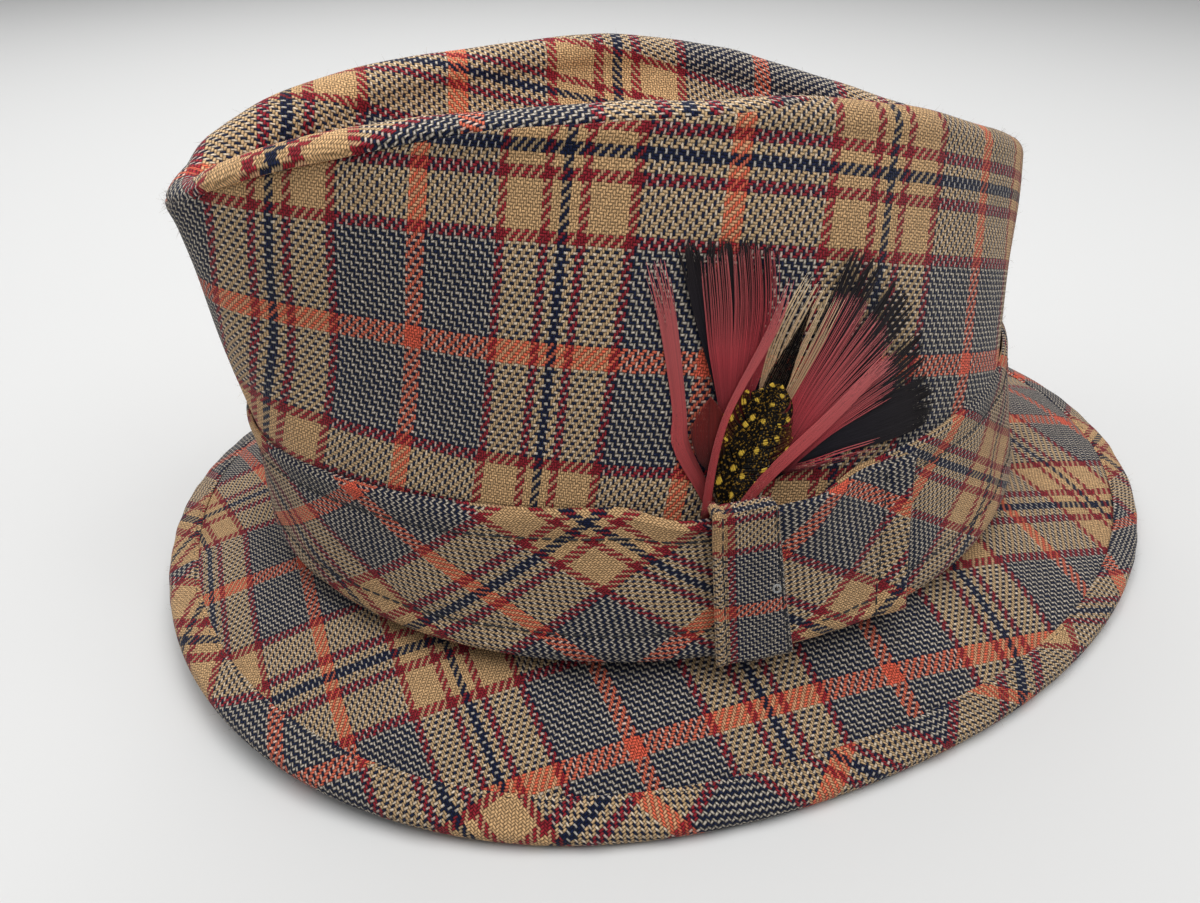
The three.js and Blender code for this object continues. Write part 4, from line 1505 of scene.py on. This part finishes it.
    def tail(self) -> bpy.types.Object:
        """Build the free end of the band, cut on a slant and sewn across."""
        form = self.form
        share, rise = np.meshgrid(np.linspace(0, 1, self.tail_columns), np.linspace(0, 1, self.tail_rows),
                                  indexing="ij")
        z = lerp(self.tail_bottom, self.tail_top, rise)
        end = lerp(self.tail_bottom_end, self.tail_top_end, rise)
        y = lerp(self.tail_start, end, share)
        theta = form.angle_at(y, z)
        curl = self.tail_curl * smoothstep(share, self.tail_curl_from, self.tail_curl_full)
        lift = self.tail_lift(theta, z) + curl
        smooth = form.off_wall(theta, z, lift + self.tail_thickness)
        normals = grid_normals(smooth, ring=False)
        run = self.girth(theta)
        counts = [self.threads(lay, run, z) for lay in (self.tail_warp, self.tail_weft)]
        uv = self.finishes.plaid.place(*counts, Stripe.NAVY)
        up = arc_along(smooth)
        to_end = (1 - share) * (end - self.tail_start)
        edge = np.minimum(np.minimum(up, up[:, -1:] - up), to_end)
        hem = groove(to_end - self.tail_hem, self.tail_stitch_depth, self.tail_stitch_width)
        sunk = rounded(edge, self.hem_round) + hem
        waver = ripple(smooth, self.tail_waves)
        face = smooth + normals * (waver * smoothstep(edge, 0, self.still_edge) - sunk)[..., None]
        back = form.off_wall(theta, z, lift)
        self.surfaces.append((face, normals))
        column = np.abs(to_end - self.tail_hem).argmin(axis=0)
        rows = np.arange(face.shape[1])
        self.stitches.sew(face[column, rows], normals[column, rows])
        low = self.tail_stitch_row
        inside = (share[:, low] > self.tail_stitch_from) & (to_end[:, low] > self.tail_hem)
        self.stitches.sew(face[inside, low], normals[inside, low])
        return self.finishes.sheet("band_tail", face, back, uv, ring=False)

    def keeper_lift(self, theta: Array, z: Array) -> Array:
        """How far the keeper's outer face stands off the crown."""
        return self.tail_lift(theta, z) + self.tail_thickness + self.form.gap + self.keeper_thickness

    def keeper(self) -> bpy.types.Object:
        """Build the keeper: a straight strip with a piped front edge, folded over the top of the band."""
        form = self.form
        top = self.tail_top + form.gap
        share = np.linspace(0, 1, self.keeper_columns)[:, None]
        rise = np.linspace(0, 1, self.keeper_rows)[None]
        inwards = np.linspace(0, 1, self.keeper_fold_rows + 1)[1:][None]
        grids = []
        for side in (0, 1):
            z = lerp(form.band_bottom, top + side * self.keeper_thickness, rise) + 0 * share
            front = lerp(self.keeper_bottom_front, self.keeper_top_front, rise)
            theta = form.angle_at(lerp(front, self.keeper_back, share), z)
            lift = self.keeper_lift(theta, z) - (1 - side) * self.keeper_thickness
            wall = form.off_wall(theta, z, lift)
            inward = form.band_lift(theta[:, -1:], z[:, -1:]) + form.gap
            fold = lerp(lift[:, -1:], inward, inwards)
            shelf = form.off_wall(theta[:, -1:] + 0 * fold, z[:, -1:] + 0 * fold, fold)
            grids.append((np.concatenate([wall, shelf], axis=1), theta, z))
        (back, _, _), (smooth, theta, z) = grids
        normals = grid_normals(smooth, ring=False)
        up = arc_along(smooth)
        wide = np.linalg.norm(smooth[-1] - smooth[0], axis=-1)
        x = share * wide
        warp = (x - self.keeper_red_at) / self.keeper_warp_pitch - self.keeper_red_thread
        weft = (up - self.keeper_orange_at) / self.keeper_weft_pitch
        uv = self.finishes.plaid.place(warp, weft, Stripe.ORANGE)
        edge = np.minimum(x, wide - x)
        half = self.keeper_piping / 2
        piped = self.keeper_piping_height * np.exp(-(((x - half) / half) ** 2))
        ends = np.minimum(up, up[:, -1:] - up)
        at_fold = up[:, self.keeper_rows - 1:self.keeper_rows]
        over_fold = rounded(np.abs(up - at_fold), self.keeper_fold_round)
        sunk = (rounded(np.minimum(edge, ends), self.hem_round)
                + groove(x - self.keeper_piping, self.keeper_piping_depth, self.keeper_stitch_width)
                + groove(wide - x - self.keeper_hem, self.keeper_hem_depth, self.keeper_stitch_width)
                + self.keeper_fold_share * over_fold)
        face = smooth + normals * (piped + ripple(smooth, self.keeper_waves) - sunk)[..., None]
        self.surfaces.append((face, normals))
        for inset in (self.keeper_piping, wide[0] - self.keeper_hem):
            column = int(np.abs(x[:, 0] - inset).argmin())
            self.stitches.sew(face[column, :self.keeper_rows], normals[column, :self.keeper_rows])
        return self.finishes.sheet("band_keeper", face, back, uv, ring=False)

    def tack(self) -> bpy.types.Object:
        """Build the ring of clear thread that holds the keeper."""
        form = self.form

        def face(theta: Array, z: Array) -> Array:
            """Outer face of the keeper."""
            return form.off_wall(theta, z, self.keeper_lift(theta, z))

        z = np.array(self.tack_z)
        theta = form.angle_at(np.array(self.tack_y), z)
        normal = form.normal(face, theta, z)
        centre = face(theta, z) + normal * (form.gap + self.tack_wire)
        side = unit(np.cross(UP, normal))
        above = np.cross(normal, side)
        turn = np.linspace(0, 2 * math.pi, self.tack_steps)
        path = centre + self.tack_radius * (np.cos(turn)[:, None] * side + np.sin(turn)[:, None] * above)
        maker = MeshMaker("keeper_tack_thread", FIBRE_MAP)
        size = np.full((1, self.tack_steps), self.tack_wire)
        tags = np.zeros((1, self.tack_steps, 2))
        normals = np.broadcast_to(normal, (1, self.tack_steps, 3))
        maker.add_strands(path[None], normals, size, size, tags, sides=self.tack_sides)
        piece = maker.write(self.finishes.made["clear_thread"])
        return self.finishes.dress(piece, "clear_thread", "keeper_tack")

    def build(self) -> None:
        """Build and dress the band and all that is sewn to it."""
        self.ring()
        self.tail()
        self.keeper()
        self.tack()


class BarbStyle(Enum):
    """How a feather's barbs are set."""

    FAN = "fan"
    STRIP = "strip"
    SPIKE = "spike"
    VANE = "vane"


@dataclass(frozen=True)
class Feather:
    """One feather: the solid that it stands for, its layer, its spine and how its barbs lie.

    The spine gives y, z and width from the root to the tip. Barbs cover a share of their own lane to each
    side, part past the split, draw together in clumps as far as they cling, thin to the tip's half width
    and end unevenly. They stop short at the sides by the share in arc, and between tufts by the share in
    notch. The painted side shade carries the root's dark up one side, where that side lies in shadow.
    """

    node: str
    finish: str
    layer: float
    spine: tuple[tuple[float, float, float], ...]
    style: BarbStyle
    barbs: int
    split: float = 1.0
    clump: int = 3
    cling: float = 0.8
    tip: float = 0.05
    cover: float = 0.62
    ragged: float = 0.1
    arc: float = 0.0
    tufts: int = 1
    notch: float = 0.0
    painted_side_shade: float = 0.0
    slot: str = ""


FEATHERS = (
    Feather("feather_slate_left", "feather_slate", 0,
            ((-20, 60, 2), (-19.5, 76, 8), (-18, 90, 16), (-16.8, 104, 21)),
            BarbStyle.FAN, 130, split=0.85, clump=14, cling=0.4, tip=0.14, cover=1.3, ragged=0.06, arc=0.03),
    Feather("feather_slate_lower", "feather_slate", 0,
            ((-12, 56.5, 2), (-2, 60.5, 5), (14.5, 61.5, 9.5), (34.5, 61.2, 11.5)),
            BarbStyle.FAN, 110, split=0.9, clump=16, cling=0.3, tip=0.12, cover=1.3, ragged=0.05, arc=0.04),
    Feather("biot_left", "dyed_biot", 0,
            ((-26.5, 51, 2.2), (-28.5, 56.8, 3.0), (-31.8, 65.5, 3.7), (-31.3, 71.7, 3.0), (-31.2, 80, 3.2),
             (-31.4, 91, 3.8), (-32.3, 101, 5.0)),
            BarbStyle.STRIP, 24, split=0.87, ragged=0.07, slot="feather_pink"),
    Feather("feather_slate_upper", "feather_slate", 1,
            ((-10, 60, 3), (-4, 65.5, 9), (4, 72, 19), (13, 78.8, 30), (24.8, 87, 43)),
            BarbStyle.FAN, 280, split=0.82, clump=10, cling=0.55, tip=0.12, cover=1.4, ragged=0.035, arc=0.1,
            tufts=3, notch=0.2),
    Feather("feather_cream", "feather_cream", 2.4,
            ((-13, 68, 4), (-10.8, 74.1, 8), (-5.3, 83, 11), (2.5, 93, 11)),
            BarbStyle.FAN, 84, split=0.25, clump=4, cling=0.6, tip=0.045, cover=0.5, ragged=0.22),
    Feather("feather_pink_low", "feather_pink", 1,
            ((-9, 57.6, 1.4), (-4, 57.4, 2), (6, 57.6, 2.8), (17.5, 57, 3.2)),
            BarbStyle.FAN, 14, split=0.15, ragged=0.3, painted_side_shade=0.9),
    Feather("feather_pink_left", "feather_pink", 2,
            ((-21.5, 64, 2), (-20.2, 72.5, 6.5), (-17.8, 83.2, 13), (-16.2, 92, 16), (-15.7, 103, 16.5)),
            BarbStyle.FAN, 84, split=0.55, clump=2, cling=0.6, tip=0.045, ragged=0.08, arc=0.05, painted_side_shade=0.3),
    Feather("feather_dark_spike", "feather_dark", 3,
            ((-13, 71, 3.6), (-11.1, 75.3, 5), (-5.8, 83.2, 3.4), (-0.3, 91.6, 1.2)),
            BarbStyle.SPIKE, 30),
    Feather("feather_pink_right", "feather_pink", 2,
            ((-12, 58.5, 5), (-8, 63.2, 9), (-1, 69.7, 16), (7.5, 75.6, 24), (18, 82, 35)),
            BarbStyle.FAN, 180, split=0.42, clump=3, cling=0.6, tip=0.04, ragged=0.16, arc=0.12),
    Feather("feather_russet", "feather_russet", 2.6,
            ((-26, 60.5, 2), (-26.3, 64, 6), (-25.8, 68.8, 8), (-25.2, 73.4, 5.6), (-25, 75.6, 1.8)),
            BarbStyle.SPIKE, 40),
    Feather("feather_spotted", "feather_spotted", 3,
            ((-24.5, 51, 4), (-22.7, 58.2, 9), (-18.2, 63.6, 15), (-15.1, 69.2, 16.5),
             (-12.1, 73, 10.5), (-10.6, 76.5, 1.5)),
            BarbStyle.VANE, 150),
    Feather("biot_centre", "dyed_biot", 4,
            ((-29.4, 51, 1.8), (-26.4, 62, 1.7), (-23.1, 70.3, 1.5), (-18.9, 76.7, 1.6),
             (-10.2, 87.7, 2.3), (-5.9, 96, 2)),
            BarbStyle.STRIP, 14, split=0.86, slot="feather_pink"),
    Feather("biot_right", "dyed_biot", 4,
            ((-22, 52, 2.2), (-16.5, 57, 2.5), (-9.4, 61.7, 2.9), (0, 66.9, 3.1),
             (9.2, 72, 3.1), (17.5, 76.5, 3.4)),
            BarbStyle.STRIP, 34, split=0.84, slot="feather_pink"),
)


@dataclass
class FeatherMount:
    """The feathers, tucked behind the band and lying in layers on the crown."""

    form: HatForm
    finishes: Finishes
    first_lift: float = 0.35
    pitch: float = 0.75
    lean: float = 0.04
    root_z: float = 54.0
    barb_thickness: float = 0.14
    steps: int = 20
    clump_scatter: float = 0.75
    tuft_side_from: float = 0.3
    tuft_side_full: float = 0.5
    spike_taper: float = 0.55
    sway: float = 0.28
    stray_mean: float = 0.25
    stray_spread: float = 0.35
    stray_lift: float = 0.9
    barb_lift: float = 0.1
    cup: float = 0.35
    vane_last: float = 0.97
    vane_reach: float = 0.2
    vane_lift: float = 0.5
    vane_stray: float = 0.12
    vane_half_width: float = 0.3
    vane_taper: float = 0.75
    first_seed: int = 100

    def place(self, feather: Feather, share: Array, across: Array, lift: Array) -> tuple[Array, Array]:
        """Find places on a feather.

        Args:
            feather: The feather.
            share: Share of the way from its root to its tip.
            across: Millimetres to the side of its spine.
            lift: Millimetres above its own layer.

        Returns:
            Points, and the direction away from the crown there.
        """
        knots = np.array(feather.spine)
        step = 1e-3
        heading = unit((spline(knots, share + step) - spline(knots, share - step))[..., :2])
        spine = spline(knots, share)
        y = spine[..., 0] + across * heading[..., 1]
        z = spine[..., 1] - across * heading[..., 0]
        out = (self.first_lift + feather.layer * self.pitch + lift
               + self.lean * np.maximum(0, z - self.root_z))
        theta = self.form.angle_at(y, z)
        return self.form.off_wall(theta, z, out), self.form.outward(theta)

    def barbs(self, feather: Feather, rng: np.random.Generator) -> tuple[Array, Array, Array, Array]:
        """Lay out the barbs of a fan, strip or spike side by side.

        Args:
            feather: The feather.
            rng: Seeded source of its small differences.

        Returns:
            Share along, millimetres across, lift and half width, for each barb and step.
        """
        count = feather.barbs
        lane = (np.arange(count) + 0.5) / count - 0.5
        group = lane * count / feather.clump
        clump = np.round(group + rng.normal(0, self.clump_scatter / feather.clump, count)).astype(int)
        tuft = lane * feather.tufts
        aside = smoothstep(np.abs(tuft - np.round(tuft)), self.tuft_side_from, self.tuft_side_full)
        length = (1 - feather.ragged * rng.random(count) ** 1.5 - feather.arc * (2 * lane) ** 2
                  - feather.notch * aside)
        if feather.style is BarbStyle.SPIKE:
            length = 1 - self.spike_taper * np.abs(2 * lane) ** 1.5 * rng.uniform(0.8, 1, count)
        run = np.linspace(0, 1, self.steps)[None]
        share = run * length[:, None]
        wide = spline(np.array(feather.spine), share)[..., 2]
        free = np.clip((run - feather.split) / (1.001 - feather.split), 0, 1)
        member = clump - clump.min()
        sway = rng.normal(0, self.sway * feather.clump / count, count)[member]
        drawn = (clump * feather.clump / count - lane)[:, None] * feather.cling * np.sqrt(free)
        across = (lane[:, None] + drawn + sway[:, None] * free ** 1.5) * wide
        stray = rng.normal(self.stray_mean, self.stray_spread, count)[member]
        lift = self.barb_lift * rng.random(count)[:, None] + self.stray_lift * stray[:, None] * free ** 2
        cup = -self.cup * (2 * lane[:, None]) ** 2
        half = feather.cover * wide / count
        half = lerp(half, np.minimum(half, feather.tip), free ** 0.5)
        half = np.where(np.arange(self.steps) == self.steps - 1, feather.tip / 2, half)
        return share, across, lift + cup, half

    def vane(self, feather: Feather, rng: np.random.Generator) -> tuple[Array, Array, Array, Array]:
        """Lay out the barbs of a whole small feather, slanting out from its shaft on both sides."""
        count = feather.barbs
        start = np.linspace(0.0, self.vane_last, count)
        side = np.where(np.arange(count) % 2 == 0, 1.0, -1.0)
        run = np.linspace(0, 1, self.steps)[None]
        reach = self.vane_reach * rng.uniform(0.85, 1.1, count)
        share = np.clip(start[:, None] + run * reach[:, None], 0, 1)
        wide = spline(np.array(feather.spine), share)[..., 2] / 2
        across = side[:, None] * wide * np.sin(run * math.pi / 2) * rng.uniform(0.9, 1.0, count)[:, None]
        lift = self.vane_lift * (1 - run ** 2) + self.vane_stray * rng.random(count)[:, None]
        half = np.broadcast_to(self.vane_half_width * (1 - self.vane_taper * run ** 4), share.shape)
        return share, across, lift, half

    def feather(self, feather: Feather, seed: int) -> bpy.types.Object:
        """Build one feather from its barbs.

        Args:
            feather: The feather.
            seed: Seed of its small differences.

        Returns:
            The piece that stands for the feather's blade.
        """
        rng = np.random.default_rng(seed)
        layout = self.vane if feather.style is BarbStyle.VANE else self.barbs
        share, across, lift, half = layout(feather, rng)
        paths, normals = self.place(feather, share, across, lift)
        high = np.minimum(half, self.barb_thickness / 2)
        strand = np.broadcast_to(rng.random(len(share))[:, None], share.shape)
        lane = np.linspace(-0.5, 0.5, len(share))[:, None]
        # Painted shade: the root's dark colour is carried up one side of the feather, where that side lies
        # in shadow
        tags = np.stack([share * (1 - feather.painted_side_shade * smoothstep(lane, -0.15, 0.3)), strand], -1)
        if feather.style is BarbStyle.VANE:
            long = np.linalg.norm(np.diff(np.array(feather.spine)[:, :2], axis=0), axis=1).sum()
            tags = np.stack([across, share * long], -1)
        maker = MeshMaker(feather.node + "_barbs", FIBRE_MAP)
        maker.add_strands(paths, normals, half, high, tags)
        piece = maker.write(self.finishes.made[feather.finish], crisp=180)
        return self.finishes.dress(piece, feather.slot or feather.finish, feather.node)

    def build(self) -> None:
        """Build and dress every feather."""
        for number, feather in enumerate(FEATHERS):
            self.feather(feather, self.first_seed + number)


@dataclass
class WoolHair:
    """Short loose hairs that stand off the cloth and soften its outline."""

    finishes: Finishes
    count: int = 9000
    length: float = 1.7
    radius: float = 0.024
    steps: int = 4
    seed: int = 300
    lean: tuple[float, float] = (0.3, 1.0)
    scatter: float = 0.8
    bend: float = 0.6
    bend_share: float = 0.4
    lengths: tuple[float, float] = (0.4, 1.2)
    sunk: float = 0.05
    off_table: float = 0.05
    taper: float = 0.6

    def build(self, surfaces: Sequence[tuple[Array, Array]]) -> bpy.types.Object:
        """Set hairs all over the cloth.

        Args:
            surfaces: Outer points and normals of each piece of cloth, as grids.

        Returns:
            The hairs, as one piece.
        """
        rng = np.random.default_rng(self.seed)
        spots = np.concatenate([p.reshape(-1, 3) for p, _ in surfaces])
        normals = np.concatenate([n.reshape(-1, 3) for _, n in surfaces])
        chosen = rng.choice(len(spots), self.count, replace=False)
        root, normal = spots[chosen], normals[chosen]
        upright = normal * rng.uniform(*self.lean, (self.count, 1))
        lean = unit(upright + self.scatter * rng.normal(size=(self.count, 3)))
        lean = np.where((lean * normal).sum(-1, keepdims=True) < 0, -lean, lean)
        bend = self.bend * rng.normal(size=(self.count, 3))
        run = np.linspace(0, 1, self.steps)[None, :, None]
        size = self.length * rng.uniform(*self.lengths, (self.count, 1, 1))
        curl = lean[:, None] * run + bend[:, None] * run ** 2 * self.bend_share
        paths = root[:, None] - normal[:, None] * self.sunk + size * curl
        paths[..., 2] = np.maximum(paths[..., 2], self.off_table)
        wide = np.broadcast_to(self.radius * (1 - self.taper * run[..., 0]), paths.shape[:2])
        strand = np.broadcast_to(rng.random(self.count)[:, None], paths.shape[:2])
        tags = np.stack([np.broadcast_to(run[..., 0], paths.shape[:2]), strand], -1)
        maker = MeshMaker("loose_wool_hair", FIBRE_MAP)
        maker.add_strands(paths, np.broadcast_to(normal[:, None], paths.shape), wide, wide, tags)
        piece = maker.write(self.finishes.made["wool_hair"], crisp=180)
        return self.finishes.dress(piece, "wool_plaid")


@dataclass(frozen=True)
class Panel:
    """A square panel of soft light: its place and side in metres, and its power in watts."""

    name: str
    at: tuple[float, float, float]
    size: float
    power: float
    colour: str = "#FFFFFF"


@dataclass
class Studio:
    """A pale floor, soft light from above, and the camera at the photograph's angle."""

    camera_at: tuple[float, float, float] = (208.3, -102.8, 169.4)
    target: tuple[float, float, float] = (20.51, -32.1, 34.19)
    roll: float = math.radians(-0.25)
    lens: float = 27.05
    sensor: float = 36.0
    floor_colour: str = "#D6D6D5"
    floor_size: float = 40.0
    floor_drop: float = 0.0002
    floor_roughness: float = 0.8
    floor_specular: float = 0.2
    clip: tuple[float, float] = (0.01, 50.0)
    world_colour: str = "#F4F5F8"
    world_strength: float = 0.2
    lit_point: tuple[float, float, float] = (0.02, -0.02, 0.04)
    panels: tuple[Panel, ...] = (
        Panel("overhead", (0.05, 0.0, 1.3), 1.2, 10.3),
        Panel("over_the_back", (0.2, 0.7, 1.1), 0.8, 1.5),
        Panel("right_of_camera", (0.8, 0.6, 1.3), 0.8, 4.6),
        Panel("far_side", (-0.9, 0.1, 0.9), 0.8, 3.4),
        Panel("far_high", (-0.5, 0.1, 1.3), 1.0, 4.7),
        Panel("far_front", (-0.7, -0.7, 1.0), 0.8, 1.4),
        Panel("over_the_front", (-0.2, -1.1, 0.9), 0.8, 2.8),
    )

    def floor(self) -> None:
        """Lay the floor: a plain matt sheet."""
        half = self.floor_size / 2
        mesh = bpy.data.meshes.new("floor")
        plan = [(-half, -half), (half, -half), (half, half), (-half, half)]
        mesh.from_pydata([(x, y, -self.floor_drop) for x, y in plan], [], [(0, 1, 2, 3)])
        material, tree, shader = start_finish("matt_white_card")
        join(tree, shader, {"Base Color": linear(self.floor_colour), "Roughness": self.floor_roughness,
                            "Specular IOR Level": self.floor_specular})
        mesh.materials.append(material)
        floor = bpy.data.objects.new("floor", mesh)
        bpy.context.scene.collection.objects.link(floor)

    def light(self, panel: Panel) -> None:
        """Hang a soft panel of light that faces the hat."""
        data = bpy.data.lights.new(panel.name, "AREA")
        data.shape = "SQUARE"
        data.size = panel.size
        data.energy = panel.power
        data.color = linear(panel.colour)[:3]
        lamp = bpy.data.objects.new(panel.name, data)
        lamp.location = panel.at
        lamp.rotation_mode = "QUATERNION"
        lamp.rotation_quaternion = (Vector(self.lit_point) - Vector(panel.at)).to_track_quat("-Z", "Y")
        bpy.context.scene.collection.objects.link(lamp)

    def camera(self) -> None:
        """Stand the camera where the photograph was taken from."""
        at, aim = np.array(self.camera_at), np.array(self.target)
        ahead = unit(aim - at)
        right = unit(np.cross(ahead, UP))
        above = np.cross(right, ahead)
        tilted = math.cos(self.roll) * right + math.sin(self.roll) * above
        upright = np.cross(tilted, ahead)
        data = bpy.data.cameras.new("camera")
        data.lens = self.lens
        data.sensor_fit = "HORIZONTAL"
        data.sensor_width = self.sensor
        data.clip_start, data.clip_end = self.clip
        camera = bpy.data.objects.new("camera", data)
        turn = np.eye(4)
        turn[:3, 0], turn[:3, 1], turn[:3, 2], turn[:3, 3] = tilted, upright, -ahead, at * MM
        camera.matrix_world = Matrix(turn.tolist())
        bpy.context.scene.collection.objects.link(camera)
        bpy.context.scene.camera = camera

    def build(self) -> None:
        """Set up the floor, lights and camera."""
        scene = bpy.context.scene
        scene.view_settings.view_transform = "Standard"
        world = bpy.data.worlds.new("soft_room")
        world.use_nodes = True
        background = world.node_tree.nodes["Background"]
        background.inputs["Color"].default_value = linear(self.world_colour)
        background.inputs["Strength"].default_value = self.world_strength
        scene.world = world
        self.floor()
        for panel in self.panels:
            self.light(panel)
        self.camera()


def main() -> None:
    """Build the hat in order: studio, crown, brim, band, feathers, stitches and loose hairs."""
    logging.basicConfig(level=logging.INFO, format="%(name)s: %(message)s")
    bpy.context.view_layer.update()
    form = HatForm()
    finishes = Finishes()
    finishes.prepare()
    Studio().build()
    stitches = Stitches()
    crown = Crown(form, finishes)
    brim = Brim(form, finishes, stitches)
    band = Band(form, finishes, stitches)
    for assembly in (crown, brim, band):
        assembly.build()
        log.info("%s is dressed", type(assembly).__name__)
    FeatherMount(form, finishes).build()
    stitches.build(finishes)
    WoolHair(finishes).build(crown.surfaces + brim.surfaces + band.surfaces)


if __name__ == "__main__":
    main()
